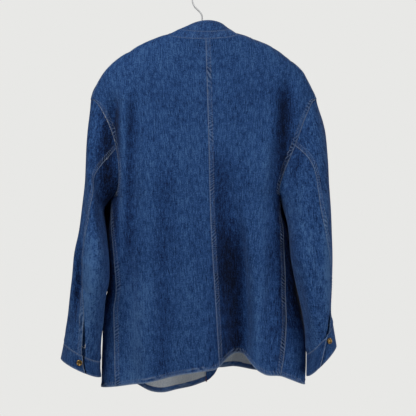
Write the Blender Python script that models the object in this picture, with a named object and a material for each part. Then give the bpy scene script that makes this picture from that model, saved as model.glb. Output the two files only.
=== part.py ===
"""Denim coverall jacket hung on its hanger, its back towards -Y.

Every cloth piece is a wall of even thickness, cut from one body form or one sleeve form, with
a narrow gap at each seam. Metres, +Z up, origin inside the top of the hanger's hook.
Left and right are the wearer's: left is -X. A drop is a depth below the origin.
"""
import math

import bmesh
import bpy
import numpy as np
from mathutils import Matrix, Vector

# Cloth and seams
CLOTH = 0.0015
CUFF_CLOTH = 0.0024
FACING_CLOTH = 0.0012
SEAM_GAP = 0.0003
ARMHOLE_GAP = 0.0004
ARMHOLE_EASE = 0.0009
SLEEVE_SEAM_GAP = 0.0005
SIDE_SEAM_GAP = 0.0006
CUFF_SEAM_GAP = 0.00045
CENTRE_X = 0.002

# Body: the form's sections from the neck points to below the hem
BODY_COLUMNS = ("drop", "left_half", "right_half", "back_depth", "front_depth", "squareness", "front_side")
BODY_SECTIONS = (
    (0.103, 0.069, 0.072, 0.040, 0.040, 2.0, 0.000),
    (0.117, 0.112, 0.114, 0.042, 0.041, 2.0, 0.000),
    (0.134, 0.147, 0.152, 0.044, 0.043, 2.0, 0.000),
    (0.152, 0.176, 0.178, 0.046, 0.045, 2.0, 0.000),
    (0.169, 0.198, 0.200, 0.048, 0.047, 2.0, 0.000),
    (0.187, 0.216, 0.218, 0.050, 0.049, 2.0, 0.000),
    (0.205, 0.229, 0.229, 0.052, 0.050, 2.0, 0.000),
    (0.222, 0.238, 0.238, 0.054, 0.052, 2.0, 0.000),
    (0.248, 0.246, 0.250, 0.057, 0.054, 2.0, 0.000),
    (0.304, 0.240, 0.246, 0.061, 0.058, 2.1, 0.000),
    (0.354, 0.227, 0.229, 0.065, 0.061, 2.2, 0.000),
    (0.407, 0.213, 0.200, 0.068, 0.063, 2.3, 0.000),
    (0.442, 0.204, 0.179, 0.070, 0.064, 2.4, 0.000),
    (0.460, 0.200, 0.170, 0.070, 0.065, 2.4, 0.003),
    (0.477, 0.201, 0.171, 0.070, 0.065, 2.4, 0.023),
    (0.495, 0.202, 0.172, 0.071, 0.066, 2.5, 0.041),
    (0.530, 0.206, 0.183, 0.072, 0.066, 2.5, 0.033),
    (0.600, 0.208, 0.197, 0.072, 0.067, 2.5, 0.008),
    (0.667, 0.210, 0.208, 0.071, 0.067, 2.5, 0.004),
    (0.700, 0.218, 0.215, 0.070, 0.067, 2.6, 0.000),
    (0.733, 0.220, 0.221, 0.069, 0.066, 2.6, 0.000),
    (0.777, 0.221, 0.225, 0.068, 0.066, 2.6, 0.000),
    (0.821, 0.222, 0.226, 0.066, 0.064, 2.6, 0.000),
    (0.876, 0.223, 0.222, 0.064, 0.062, 2.6, 0.000),
    (0.910, 0.223, 0.218, 0.063, 0.061, 2.6, 0.000),
)
FRONT_SIDE_FACING = (0.09, 0.42)

# Neckline: its drop at the neck points, how far the back dips, and the front by angle
NECK_DROP = 0.1035
NECK_BACK_DIP = 0.0185
NECK_FRONT_COLUMNS = ("angle", "drop")
NECK_FRONT = (
    (90.0, 0.1035),
    (105.0, 0.1041),
    (115.0, 0.1055),
    (125.0, 0.1080),
    (135.0, 0.1120),
    (141.0, 0.1158),
    (148.0, 0.1233),
    (154.0, 0.1335),
    (160.0, 0.1480),
    (166.0, 0.1658),
    (172.0, 0.1825),
    (180.0, 0.1910),
)

# Hem edges: drop by sideways place from the middle line
HEM_HALF = 0.220
HEM_COLUMNS = ("across", "drop")
HEM_BACK = (
    (-0.220, 0.877),
    (-0.183, 0.871),
    (-0.143, 0.865),
    (-0.092, 0.854),
    (-0.050, 0.844),
    (-0.006, 0.836),
    (0.034, 0.826),
    (0.048, 0.811),
    (0.061, 0.801),
    (0.075, 0.799),
    (0.087, 0.803),
    (0.097, 0.814),
    (0.110, 0.829),
    (0.128, 0.842),
    (0.166, 0.848),
    (0.185, 0.856),
    (0.220, 0.872),
)
HEM_FRONT_LEFT = (
    (-0.220, 0.877),
    (-0.183, 0.874),
    (-0.150, 0.879),
    (-0.114, 0.896),
    (-0.082, 0.901),
    (-0.060, 0.897),
    (-0.007, 0.882),
    (0.018, 0.869),
    (0.030, 0.853),
    (0.038, 0.830),
)
HEM_FRONT_RIGHT = (
    (-0.018, 0.800),
    (-0.008, 0.824),
    (0.008, 0.838),
    (0.030, 0.845),
    (0.068, 0.843),
    (0.108, 0.847),
    (0.158, 0.857),
    (0.220, 0.872),
)

# Seams of the body: middle of the back, sides, and the armholes
BACK_SEAM_COLUMNS = ("drop", "across")
BACK_SEAM = (
    (0.117, 0.0055),
    (0.337, 0.0120),
    (0.517, 0.0165),
    (0.616, 0.0220),
    (0.686, 0.0265),
    (0.830, 0.0350),
)
ARMHOLE_TOP = 0.188
ARMHOLE_LOW = 0.4615
SIDE_COLUMNS = ("share", "left_angle", "right_angle")
SIDE_SEAM = (
    (0.0, 90.0, 90.0),
    (0.15, 76.0, 74.0),
    (0.5, 64.0, 60.0),
    (1.0, 58.0, 48.0),
)
ARMHOLE_BACK_BOW = {"left": 0.17, "right": 0.13}
ARMHOLE_FRONT_BOW = {"left": 0.15, "right": 0.15}
ARMHOLE_MATCH = (-0.2, 0.5)

# Front edges and how they lap: the left front lies outside
LEFT_EDGE_ANGLE = 10.0
RIGHT_EDGE_ANGLE = 4.5
LAP_STEP = 0.0044
LAP_FROM = 0.046
LAP_WIDTH = 0.026
LAP_FACING = (0.3, 0.8)
FACING_WIDTH = 0.058

# Folds of the body: across at the upper and lower end, bow between, drops where each starts, is full, ends
FOLD_FACING = (0.05, 0.5)
FOLD_COLUMNS = (
    "face",
    "across_top",
    "across_low",
    "bow",
    "start",
    "full",
    "full_to",
    "end",
    "left_width",
    "right_width",
    "height",
)
BODY_FOLDS = (
    ("back", 0.008, 0.057, 0.058, 0.300, 0.760, 0.900, 1.000, 0.034, 0.015, -0.036),
    ("back", 0.139, 0.093, 0.000, 0.260, 0.420, 0.900, 1.000, 0.024, 0.022, 0.009),
    ("back", 0.190, 0.168, 0.000, 0.190, 0.250, 0.400, 0.490, 0.018, 0.011, -0.014),
    ("back", -0.118, -0.108, 0.000, 0.260, 0.420, 0.800, 0.960, 0.036, 0.036, 0.007),
    ("back", -0.080, -0.075, 0.000, 0.420, 0.620, 0.900, 1.000, 0.026, 0.030, -0.008),
    ("back", -0.171, -0.170, 0.000, 0.200, 0.260, 0.420, 0.560, 0.010, 0.012, 0.007),
    ("back", -0.194, -0.190, 0.000, 0.215, 0.270, 0.430, 0.520, 0.014, 0.010, -0.013),
    ("back", -0.152, -0.150, 0.000, 0.230, 0.300, 0.460, 0.600, 0.012, 0.014, -0.005),
    ("back", -0.165, -0.150, 0.000, 0.520, 0.660, 0.900, 1.000, 0.024, 0.024, -0.010),
    ("front", -0.120, -0.115, 0.000, 0.380, 0.600, 0.900, 1.000, 0.034, 0.034, -0.018),
    ("front", -0.058, -0.066, 0.000, 0.340, 0.560, 0.900, 1.000, 0.028, 0.028, 0.009),
    ("front", 0.105, 0.118, 0.000, 0.340, 0.600, 0.900, 1.000, 0.030, 0.030, -0.020),
    ("front", 0.165, 0.162, 0.000, 0.380, 0.560, 0.860, 1.000, 0.024, 0.024, 0.008),
)

# Sleeves: edges of each section as seen from behind, from below the armhole to the cuff's end
SLEEVE_COLUMNS = ("outer_x", "outer_drop", "inner_x", "inner_drop", "half_depth", "middle_y")
SLEEVE_SECTIONS = {
    "left": (
        (-0.251, 0.315, -0.213, 0.486, 0.055, -0.005),
        (-0.255, 0.417, -0.211, 0.517, 0.059, -0.019),
        (-0.261, 0.504, -0.206, 0.549, 0.057, -0.036),
        (-0.270, 0.572, -0.200, 0.592, 0.053, -0.046),
        (-0.279, 0.642, -0.200, 0.642, 0.051, -0.049),
        (-0.285, 0.693, -0.209, 0.693, 0.049, -0.046),
        (-0.298, 0.775, -0.219, 0.816, 0.047, -0.037),
        (-0.305, 0.810, -0.218, 0.851, 0.048, -0.035),
    ),
    "right": (
        (0.270, 0.341, 0.179, 0.478, 0.055, -0.005),
        (0.275, 0.433, 0.187, 0.526, 0.059, -0.020),
        (0.280, 0.538, 0.191, 0.588, 0.057, -0.036),
        (0.280, 0.624, 0.200, 0.637, 0.054, -0.044),
        (0.277, 0.685, 0.212, 0.694, 0.052, -0.047),
        (0.278, 0.714, 0.222, 0.750, 0.049, -0.045),
        (0.283, 0.736, 0.226, 0.800, 0.046, -0.038),
        (0.291, 0.783, 0.226, 0.849, 0.048, -0.035),
    ),
}
SLEEVE_END = 7.0
CUFF_END = 8.0
FRONT_SEAM_ANGLE = 90.0
BACK_SEAM_ANGLE_COLUMNS = ("section", "angle")
SLEEVE_BACK_SEAM = {
    "left": (
        (0.0, 90.0),
        (1.1, 100.0),
        (2.5, 82.0),
        (3.7, 65.0),
        (4.5, 66.0),
        (6.5, 97.0),
        (8.0, 112.0),
    ),
    "right": (
        (0.0, 90.0),
        (1.4, 70.0),
        (2.2, 66.0),
        (3.1, 50.0),
        (4.0, 30.0),
        (5.4, 22.0),
        (6.4, 50.0),
        (8.0, 97.0),
    ),
}
VENT_FROM = {"left": 6.1, "right": 5.2}
VENT_EASE = 0.8
VENT_HALF_GAP = 0.0035

# Folds of the sleeves: place round and along each sleeve, their reach and height
SLEEVE_FOLDS_FROM = 0.8
SLEEVE_FOLD_COLUMNS = ("side", "angle", "section", "half_angle", "half_length", "height")
SLEEVE_FOLDS = (
    ("left", 40.0, 2.0, 34.0, 1.2, -0.006),
    ("left", 118.0, 4.7, 26.0, 1.7, 0.011),
    ("left", 50.0, 5.0, 15.0, 1.9, -0.011),
    ("left", 20.0, 4.2, 40.0, 0.7, 0.002),
    ("right", 120.0, 3.0, 32.0, 1.6, 0.006),
    ("right", 84.0, 3.6, 18.0, 1.6, -0.006),
    ("right", 30.0, 2.2, 30.0, 1.0, 0.004),
    ("right", 0.0, 0.5, 40.0, 0.5, 0.007),
    ("right", 150.0, 4.6, 24.0, 1.0, -0.005),
    ("left", 280.0, 3.0, 34.0, 1.6, -0.006),
    ("right", 280.0, 3.4, 34.0, 1.6, -0.006),
)

# Collar: top edges of the stand and of the turned-up leaf
COLLAR_COLUMNS = (
    "middle_x",
    "half_width",
    "back_depth",
    "front_depth",
    "back_drop",
    "side_drop",
    "front_drop",
)
STAND_TOP = (0.006, 0.058, 0.0385, 0.039, 0.1035, 0.0945, 0.166)
LEAF_TOP = (0.011, 0.044, 0.0300, 0.033, 0.0785, 0.0885, 0.142)
COLLAR_END_ANGLE = 177.0
COLLAR_GAP = 0.0005

# Buttons
BUTTON_RADIUS = 0.0085
BUTTON_HEIGHT = 0.0034
BUTTON_SEAT = 0.0005
BUTTON_TOP_RATIO = 0.72
BUTTON_SIDES = 14
FRONT_BUTTON_SHARES = (0.07, 0.245, 0.42, 0.595, 0.77)
CUFF_BUTTON_RADIUS = 0.0065
CUFF_BUTTON_SECTION = 7.35
CUFF_BUTTON_TURN = {"left": -14.0, "right": -16.0}

# Hanger
ARM_RADIUS = 0.005
ARM_SEAT = 0.0073
ARM_ROWS = 7
ARM_MIDDLE_DROP = 0.1120
ARM_END_RATIO = 0.6
ARM_SIDES = 10
HOOK_WIRE = 0.0018
HOOK_LOOP = 0.0220
HOOK_TIP_ANGLE = -12.0
HOOK_LEAVE_ANGLE = 195.0
HOOK_STEPS = 22
HOOK_SIDES = 8
HOOK_NECK = (
    (-0.0200, -0.0360),
    (-0.0154, -0.0447),
    (-0.0088, -0.0512),
    (-0.0035, -0.0570),
    (-0.0007, -0.0620),
    (0.0000, -0.0680),
)

# Grid sizes
SHOULDER_ROWS = 9
ARMHOLE_ROWS = 10
LOWER_ROWS = 10
LOWER_CROWDING = 1.3
BACK_STEPS = 14
FRONT_STEPS = 16
FACING_STEPS = 3
SLEEVE_ROWS = 17
SLEEVE_CROWDING = 1.35
CUFF_ROWS = 2
STAND_ROWS = 2
LEAF_ROWS = 3
ARC_SAMPLES = 240
SLOPE_STEP = 0.0008
SECTION_STEP = 0.004
TURN_STEP = 0.12
NEARLY_ZERO = 1e-6

MATERIALS = {
    "denim": ((0.045, 0.085, 0.185, 1.0), 0.85, 0.0),
    "brass": ((0.60, 0.43, 0.20, 1.0), 0.35, 1.0),
    "steel": ((0.75, 0.76, 0.78, 1.0), 0.22, 1.0),
    "plastic": ((0.80, 0.80, 0.78, 1.0), 0.45, 0.0),
}


def smooth_curve(knots, values):
    """Return a smooth curve through the values at the knots."""
    knots = np.asarray(knots, float)
    values = np.asarray(values, float)
    slopes = np.gradient(values, knots)

    def read(place):
        place = np.clip(place, knots[0], knots[-1])
        left = np.clip(np.searchsorted(knots, place, side="right") - 1, 0, len(knots) - 2)
        span = knots[left + 1] - knots[left]
        part = (place - knots[left]) / span
        near = 1.0 - part
        ends = values[left] * near * near * (1.0 + 2.0 * part)
        ends = ends + values[left + 1] * part * part * (3.0 - 2.0 * part)
        return ends + span * part * near * (slopes[left] * near - slopes[left + 1] * part)

    return read


def column_curve(rows, columns, key, value):
    """Return a smooth curve of one named column of a table against another."""
    at = columns.index(key)
    to = columns.index(value)
    return smooth_curve([row[at] for row in rows], [row[to] for row in rows])


def ease(low, high, place):
    """Rise smoothly from 0 at low to 1 at high."""
    part = np.clip((place - low) / (high - low), 0.0, 1.0)
    return part * part * (3.0 - 2.0 * part)


LEFT_HALF = column_curve(BODY_SECTIONS, BODY_COLUMNS, "drop", "left_half")
RIGHT_HALF = column_curve(BODY_SECTIONS, BODY_COLUMNS, "drop", "right_half")
BACK_DEPTH = column_curve(BODY_SECTIONS, BODY_COLUMNS, "drop", "back_depth")
FRONT_DEPTH = column_curve(BODY_SECTIONS, BODY_COLUMNS, "drop", "front_depth")
SQUARENESS = column_curve(BODY_SECTIONS, BODY_COLUMNS, "drop", "squareness")
FRONT_SIDE = column_curve(BODY_SECTIONS, BODY_COLUMNS, "drop", "front_side")
NECK_FRONT_DROP = column_curve(NECK_FRONT, NECK_FRONT_COLUMNS, "angle", "drop")
HEM_BACK_DROP = column_curve(HEM_BACK, HEM_COLUMNS, "across", "drop")
HEM_FRONT_DROP = {
    "left": column_curve(HEM_FRONT_LEFT, HEM_COLUMNS, "across", "drop"),
    "right": column_curve(HEM_FRONT_RIGHT, HEM_COLUMNS, "across", "drop"),
}
BACK_SEAM_ACROSS = column_curve(BACK_SEAM, BACK_SEAM_COLUMNS, "drop", "across")
SIDE_ANGLE = {
    "left": column_curve(SIDE_SEAM, SIDE_COLUMNS, "share", "left_angle"),
    "right": column_curve(SIDE_SEAM, SIDE_COLUMNS, "share", "right_angle"),
}
SEAM_ANGLE = {
    side: column_curve(rows, BACK_SEAM_ANGLE_COLUMNS, "section", "angle")
    for side, rows in SLEEVE_BACK_SEAM.items()
}


def body_drop(angle, share, side):
    """Depth below the origin at an angle round the body and a share of the way to the hem."""
    turned = np.abs(angle)
    turned = np.where(turned > math.pi, 2.0 * math.pi - turned, turned)
    on_back = np.cos(angle) >= 0.0
    back_neck = NECK_DROP + NECK_BACK_DIP * np.cos(angle) ** 2
    neck = np.where(on_back, back_neck, NECK_FRONT_DROP(np.degrees(turned)))
    across = HEM_HALF * np.sin(angle)
    hem = np.where(on_back, HEM_BACK_DROP(across), HEM_FRONT_DROP[side](across))
    return neck + (hem - neck) * share


def body_folds(face, across, drop):
    """How far the named face stands out at a place, from the table of folds."""
    height = np.zeros_like(across)
    for row in BODY_FOLDS:
        fold = dict(zip(FOLD_COLUMNS, row))
        if fold["face"] != face:
            continue
        along = np.clip((drop - fold["start"]) / (fold["end"] - fold["start"]), 0.0, 1.0)
        middle = fold["across_top"] + (fold["across_low"] - fold["across_top"]) * along
        away = across - middle - fold["bow"] * np.sin(math.pi * along)
        width = np.where(away < 0.0, fold["left_width"], fold["right_width"])
        strength = ease(fold["start"], fold["full"], drop) * (1.0 - ease(fold["full_to"], fold["end"], drop))
        height = height + fold["height"] * strength * np.exp(-((away / width) ** 2))
    return height


def body_point(angle, share, side):
    """Points of the body form. Angles run from the middle of the back to +X, the front, or -X."""
    angle, share = np.broadcast_arrays(np.asarray(angle, float), np.asarray(share, float))
    drop = body_drop(angle, share, side)
    turn = np.sin(angle)
    facing = np.cos(angle)
    half = np.where(turn < 0.0, LEFT_HALF(drop), RIGHT_HALF(drop))
    half = half + FRONT_SIDE(drop) * ease(*FRONT_SIDE_FACING, -facing)
    depth = np.where(facing >= 0.0, BACK_DEPTH(drop), FRONT_DEPTH(drop))
    power = SQUARENESS(drop)
    across = half * turn
    out = depth * np.clip(1.0 - np.abs(turn) ** power, 0.0, 1.0) ** (1.0 / power)
    back_out = out + body_folds("back", across, drop) * ease(*FOLD_FACING, facing)
    front_out = out + body_folds("front", across, drop) * ease(*FOLD_FACING, -facing)
    if side == "right":
        lapped = ease(0.0, LAP_WIDTH, LAP_FROM + LAP_WIDTH - across) * ease(*LAP_FACING, -facing)
        front_out = front_out - LAP_STEP * lapped
    y = np.where(facing >= 0.0, -back_out, front_out)
    return np.stack([CENTRE_X + across, y, -drop], axis=-1)


def unit(vectors):
    """Scale vectors to length 1."""
    return vectors / np.linalg.norm(vectors, axis=-1, keepdims=True)


def body_normal(angle, share, side):
    """Outward directions of the body form."""
    step = SLOPE_STEP
    round_way = body_point(angle + step, share, side) - body_point(angle - step, share, side)
    down_way = body_point(angle, share + step, side) - body_point(angle, share - step, side)
    return unit(np.cross(down_way, round_way))


def armhole_share(turn):
    """Share of the way to the hem at a turn round the armhole, 0 at its top and pi at the underarm."""
    return ARMHOLE_TOP + (ARMHOLE_LOW - ARMHOLE_TOP) * (1.0 - np.cos(turn)) / 2.0


def armhole_turn(share):
    """Turn round the back of the body's armhole edge at a share."""
    part = (share - ARMHOLE_TOP + ARMHOLE_EASE) / (ARMHOLE_LOW - ARMHOLE_TOP + 2.0 * ARMHOLE_EASE)
    return math.acos(1.0 - 2.0 * min(max(part, 0.0), 1.0))


def armhole_angle(turn, bow):
    """Angle round the body of the armhole's edge."""
    return np.arcsin(1.0 - bow * np.sin(turn))


def side_sign(side):
    """+1 on the wearer's right, -1 on the left."""
    return 1.0 if side == "right" else -1.0


def shoulder_shares():
    """Shares of the rows that end on the shoulder seam, at even steps along it."""
    shares = np.linspace(0.0, ARMHOLE_TOP - ARMHOLE_EASE, ARC_SAMPLES)
    points = body_point(math.pi / 2.0, shares, "right")
    lengths = np.concatenate([[0.0], np.cumsum(np.linalg.norm(np.diff(points, axis=0), axis=1))])
    return np.interp(np.linspace(0.0, lengths[-1], SHOULDER_ROWS + 1), lengths, shares)


def body_shares():
    """Shares of all rows, the rows through the armhole at even turns round its edge."""
    turns = np.linspace(0.0, math.pi, ARMHOLE_ROWS + 1)
    armhole = armhole_share(turns) - ARMHOLE_EASE * np.cos(turns)
    part = np.linspace(0.0, 1.0, LOWER_ROWS + 1)[1:] ** LOWER_CROWDING
    lower = armhole[-1] + (1.0 - armhole[-1]) * part
    return np.concatenate([shoulder_shares()[:-1], armhole, lower])


def outer_edge_angle(share, face, side):
    """Angle of the shoulder seam, armhole edge or side seam at a share, on the named face."""
    low = ARMHOLE_LOW + ARMHOLE_EASE
    if share <= ARMHOLE_TOP - ARMHOLE_EASE + NEARLY_ZERO:
        return math.pi / 2.0
    if share < low - NEARLY_ZERO:
        turn = armhole_turn(share)
        if face == "back":
            return float(armhole_angle(turn, ARMHOLE_BACK_BOW[side]))
        return math.pi - float(armhole_angle(turn, ARMHOLE_FRONT_BOW[side]))
    return math.radians(float(SIDE_ANGLE[side]((share - low) / (1.0 - low))))


def edge_gap(share):
    """Half of the gap left at the outer edge at a share."""
    if ARMHOLE_TOP < share < ARMHOLE_LOW:
        return ARMHOLE_GAP
    return (SIDE_SEAM_GAP if share > ARMHOLE_LOW else SEAM_GAP) / 2.0


def row_angles(share, side, start, end, start_gap, end_gap, steps):
    """Angles at even steps along one row of a panel, drawn in from its two edges by the gaps."""
    angles = np.linspace(start, end, ARC_SAMPLES)
    points = body_point(angles, share, side)
    lengths = np.concatenate([[0.0], np.cumsum(np.linalg.norm(np.diff(points, axis=0), axis=1))])
    places = np.linspace(start_gap, lengths[-1] - end_gap, steps + 1)
    return np.interp(places, lengths, angles)


def back_angles(share, side):
    """Row of a back half, from the middle seam to its outer edge."""
    middle_drop = float(body_drop(0.0, share, side))
    seam = math.asin(float(BACK_SEAM_ACROSS(middle_drop)) / float(RIGHT_HALF(middle_drop)))
    outer = side_sign(side) * outer_edge_angle(share, "back", side)
    return row_angles(share, side, seam, outer, SEAM_GAP / 2.0, edge_gap(share), BACK_STEPS)


def front_angles(share, side):
    """Row of a front, from its outer edge to its front edge."""
    beyond = LEFT_EDGE_ANGLE if side == "left" else RIGHT_EDGE_ANGLE
    outer = side_sign(side) * outer_edge_angle(share, "front", side)
    edge = side_sign(side) * math.radians(180.0 + beyond)
    return row_angles(share, side, outer, edge, edge_gap(share), 0.0, FRONT_STEPS)


def facing_angles(share, side):
    """Row of a facing: the strip of the front next to its front edge."""
    full = front_angles(share, side)
    dense = np.interp(np.linspace(0.0, FRONT_STEPS, ARC_SAMPLES), np.arange(FRONT_STEPS + 1), full)
    points = body_point(dense, share, side)
    lengths = np.concatenate([[0.0], np.cumsum(np.linalg.norm(np.diff(points, axis=0), axis=1))])
    places = np.linspace(lengths[-1] - FACING_WIDTH, lengths[-1], FACING_STEPS + 1)
    return np.interp(places, lengths, dense)


def armhole_place(side, turn):
    """Angle round the body and share of the way to the hem at a full turn round an armhole."""
    turn = np.mod(turn, 2.0 * math.pi)
    on_back = turn <= math.pi
    half_turn = np.where(on_back, turn, 2.0 * math.pi - turn)
    back = armhole_angle(half_turn, ARMHOLE_BACK_BOW[side])
    front = math.pi - armhole_angle(half_turn, ARMHOLE_FRONT_BOW[side])
    return side_sign(side) * np.where(on_back, back, front), armhole_share(half_turn)


def sleeve_stations(side, turn):
    """Points at one turn round every section of a sleeve, the armhole first."""
    angle, share = armhole_place(side, turn)
    stations = [body_point(angle, share, side)]
    for row in SLEEVE_SECTIONS[side]:
        section = dict(zip(SLEEVE_COLUMNS, row))
        outer = np.array([section["outer_x"], section["middle_y"], -section["outer_drop"]])
        inner = np.array([section["inner_x"], section["middle_y"], -section["inner_drop"]])
        deep = np.array([0.0, -section["half_depth"], 0.0])
        wave = np.cos(turn)[..., None] * (outer - inner) / 2.0 + np.sin(turn)[..., None] * deep
        stations.append((outer + inner) / 2.0 + wave)
    return np.stack(stations)


def sleeve_folds(side, turn, section):
    """How far a sleeve stands out at a place, from the table of folds."""
    height = np.zeros_like(turn)
    for row in SLEEVE_FOLDS:
        fold = dict(zip(SLEEVE_FOLD_COLUMNS, row))
        if fold["side"] != side:
            continue
        away = np.degrees(turn) - fold["angle"]
        away = np.mod(away + 180.0, 360.0) - 180.0
        across = np.exp(-((away / fold["half_angle"]) ** 2))
        along = np.exp(-(((section - fold["section"]) / fold["half_length"]) ** 2))
        height = height + fold["height"] * across * along
    flat_end = 1.0 - ease(SLEEVE_END - 1.0, SLEEVE_END, section)
    return height * ease(0.0, SLEEVE_FOLDS_FROM, section) * flat_end


def sleeve_point(side, turn, section):
    """Points of a sleeve form: turn 0 at its outer edge, pi / 2 behind, section 0 at the armhole."""
    turn, section = np.broadcast_arrays(np.asarray(turn, float), np.asarray(section, float))
    stations = sleeve_stations(side, turn)
    slopes = np.gradient(stations, axis=0)
    low = np.clip(np.floor(section).astype(int), 0, len(stations) - 2)
    part = (section - low)[..., None]
    near = 1.0 - part
    pick = np.indices(low.shape)
    first = stations[(low, *pick)]
    second = stations[(low + 1, *pick)]
    first_slope = slopes[(low, *pick)]
    second_slope = slopes[(low + 1, *pick)]
    ends = first * near * near * (1.0 + 2.0 * part) + second * part * part * (3.0 - 2.0 * part)
    points = ends + part * near * (first_slope * near - second_slope * part)
    outward = unit(points - sleeve_middle(side, section))
    return points + outward * sleeve_folds(side, turn, section)[..., None]


def sleeve_middle(side, section):
    """Middle of a sleeve at a section."""
    sections = [dict(zip(SLEEVE_COLUMNS, row)) for row in SLEEVE_SECTIONS[side]]
    knots = np.arange(1, len(sections) + 1)
    x = smooth_curve(knots, [(row["outer_x"] + row["inner_x"]) / 2.0 for row in sections])
    drop = smooth_curve(knots, [(row["outer_drop"] + row["inner_drop"]) / 2.0 for row in sections])
    y = smooth_curve(knots, [row["middle_y"] for row in sections])
    return np.stack([x(section), y(section), -drop(section)], axis=-1)


def sleeve_normal(side, turn, section):
    """Outward directions of a sleeve form."""
    ahead = np.minimum(section + SECTION_STEP, CUFF_END)
    behind = np.maximum(section - SECTION_STEP, 0.0)
    along = sleeve_point(side, turn, ahead) - sleeve_point(side, turn, behind)
    around = sleeve_point(side, turn + TURN_STEP, section) - sleeve_point(side, turn - TURN_STEP, section)
    return unit(np.cross(around, along)) * side_sign(side)


def vent_half_gap(side, section):
    """Half of the gap at a sleeve's back seam, wider where the vent opens."""
    opening = ease(VENT_FROM[side], VENT_FROM[side] + VENT_EASE, section)
    return SLEEVE_SEAM_GAP / 2.0 + VENT_HALF_GAP * opening


def front_seam(side, section):
    """Turn of a sleeve's front seam at a section."""
    return -math.radians(FRONT_SEAM_ANGLE)


def back_seam(side, section):
    """Turn of a sleeve's back seam at a section."""
    return math.radians(float(SEAM_ANGLE[side](section)))


def gap_turn(side, section, seam, gap):
    """Turn round a sleeve that covers a gap, measured square to a seam."""
    turn = seam(side, section)
    pair = sleeve_point(side, np.array([turn - TURN_STEP, turn + TURN_STEP]), section)
    around = (pair[1] - pair[0]) / (2.0 * TURN_STEP)
    ahead = min(section + SECTION_STEP, CUFF_END)
    behind = max(section - SECTION_STEP, 0.0)
    onward = sleeve_point(side, seam(side, ahead), ahead)
    along = unit(onward - sleeve_point(side, seam(side, behind), behind))
    return gap / float(np.linalg.norm(np.cross(around, along)))


def upper_turns(side, section):
    """Turns of one row of an upper sleeve, from the back seam over the outside to the front seam."""
    back = back_seam(side, section) - gap_turn(side, section, back_seam, float(vent_half_gap(side, section)))
    front = front_seam(side, section) + gap_turn(side, section, front_seam, SLEEVE_SEAM_GAP / 2.0)
    half = ARMHOLE_ROWS // 2
    first = np.linspace(back, 0.0, half + 1)
    return np.concatenate([first, np.linspace(0.0, front, half + 1)[1:]])


def under_turns(side, section):
    """Turns of one row of an under sleeve, from the front seam round the inside to the back seam."""
    back = back_seam(side, section) + gap_turn(side, section, back_seam, float(vent_half_gap(side, section)))
    front = front_seam(side, section) - gap_turn(side, section, front_seam, SLEEVE_SEAM_GAP / 2.0)
    half = ARMHOLE_ROWS // 2
    first = np.linspace(2.0 * math.pi + front, math.pi, half + 1)
    return np.concatenate([first, np.linspace(math.pi, back, half + 1)[1:]])


def cuff_turns(side, section):
    """Turns of one row of a cuff, right round from one side of the vent to the other."""
    turns = np.concatenate([upper_turns(side, SLEEVE_END), under_turns(side, SLEEVE_END)[1:] - 2.0 * math.pi])
    return back_seam(side, section) + turns - back_seam(side, SLEEVE_END)


def armhole_normal(side, turn, own):
    """Outward direction at the armhole seam, shared where body and sleeve run on into each other."""
    angle, share = armhole_place(side, turn)
    body = body_normal(angle, share, side)
    sleeve = sleeve_normal(side, turn, np.zeros_like(turn))
    match = ease(*ARMHOLE_MATCH, (body * sleeve).sum(axis=-1))[..., None]
    if own == "body":
        return unit(body + sleeve * match)
    return unit(sleeve + body * match)


def sleeve_rows(turns_of, side, sections):
    """Outer points and outward directions of a sleeve piece, row by row."""
    points = []
    normals = []
    for section in sections:
        turns = turns_of(side, section)
        place = np.full_like(turns, section)
        normal = sleeve_normal(side, turns, place)
        if section == 0.0:
            normal = armhole_normal(side, turns, "sleeve")
        points.append(sleeve_point(side, turns, place))
        normals.append(normal)
    return np.array(points), np.array(normals)


def body_rows(angles_of, side, shares):
    """Outer points and outward directions of a body panel, row by row."""
    points = []
    normals = []
    for share in shares:
        angles = angles_of(share, side)
        points.append(body_point(angles, share, side))
        normals.append(body_normal(angles, share, side))
    return np.array(points), np.array(normals)


def set_armhole_normals(normals, shares, side, face):
    """Turn a panel's wall at its armhole edge to lie along the sleeve's."""
    middle = (ARMHOLE_TOP + ARMHOLE_LOW) / 2.0
    reach = (ARMHOLE_LOW - ARMHOLE_TOP) / 2.0 + ARMHOLE_EASE + NEARLY_ZERO
    for row, share in enumerate(shares):
        if abs(share - middle) < reach:
            turn = armhole_turn(share)
            if face == "back":
                normals[row, -1] = armhole_normal(side, np.array(turn), "body")
            else:
                normals[row, 0] = armhole_normal(side, np.array(2.0 * math.pi - turn), "body")


def collar_edge(row, angles):
    """Points of a collar's top edge at angles round the neck."""
    size = dict(zip(COLLAR_COLUMNS, row))
    facing = np.cos(angles)
    depth = np.where(facing >= 0.0, size["back_depth"], size["front_depth"])
    far_drop = np.where(facing >= 0.0, size["back_drop"], size["front_drop"])
    drop = size["side_drop"] + (far_drop - size["side_drop"]) * facing ** 2
    middle = CENTRE_X + size["middle_x"] * (1.0 + facing) / 2.0
    return np.stack([middle + size["half_width"] * np.sin(angles), -depth * facing, -drop], axis=-1)


def neck_angles():
    """Angles of the panels' own points along the neckline, from one front to the other."""
    fronts = {side: front_angles(0.0, side) for side in ("left", "right")}
    backs = {side: back_angles(0.0, side) for side in ("left", "right")}
    left = np.concatenate([fronts["left"][::-1], backs["left"][::-1][1:]])
    right = np.concatenate([backs["right"][1:], fronts["right"][1:]])
    angles = np.concatenate([left, right])
    return angles[np.abs(angles) < math.radians(COLLAR_END_ANGLE)]


def run_lengths(points):
    """Lengths along a row of points, from its first, as shares of the whole."""
    lengths = np.concatenate([[0.0], np.cumsum(np.linalg.norm(np.diff(points, axis=0), axis=1))])
    return lengths / lengths[-1]


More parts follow.
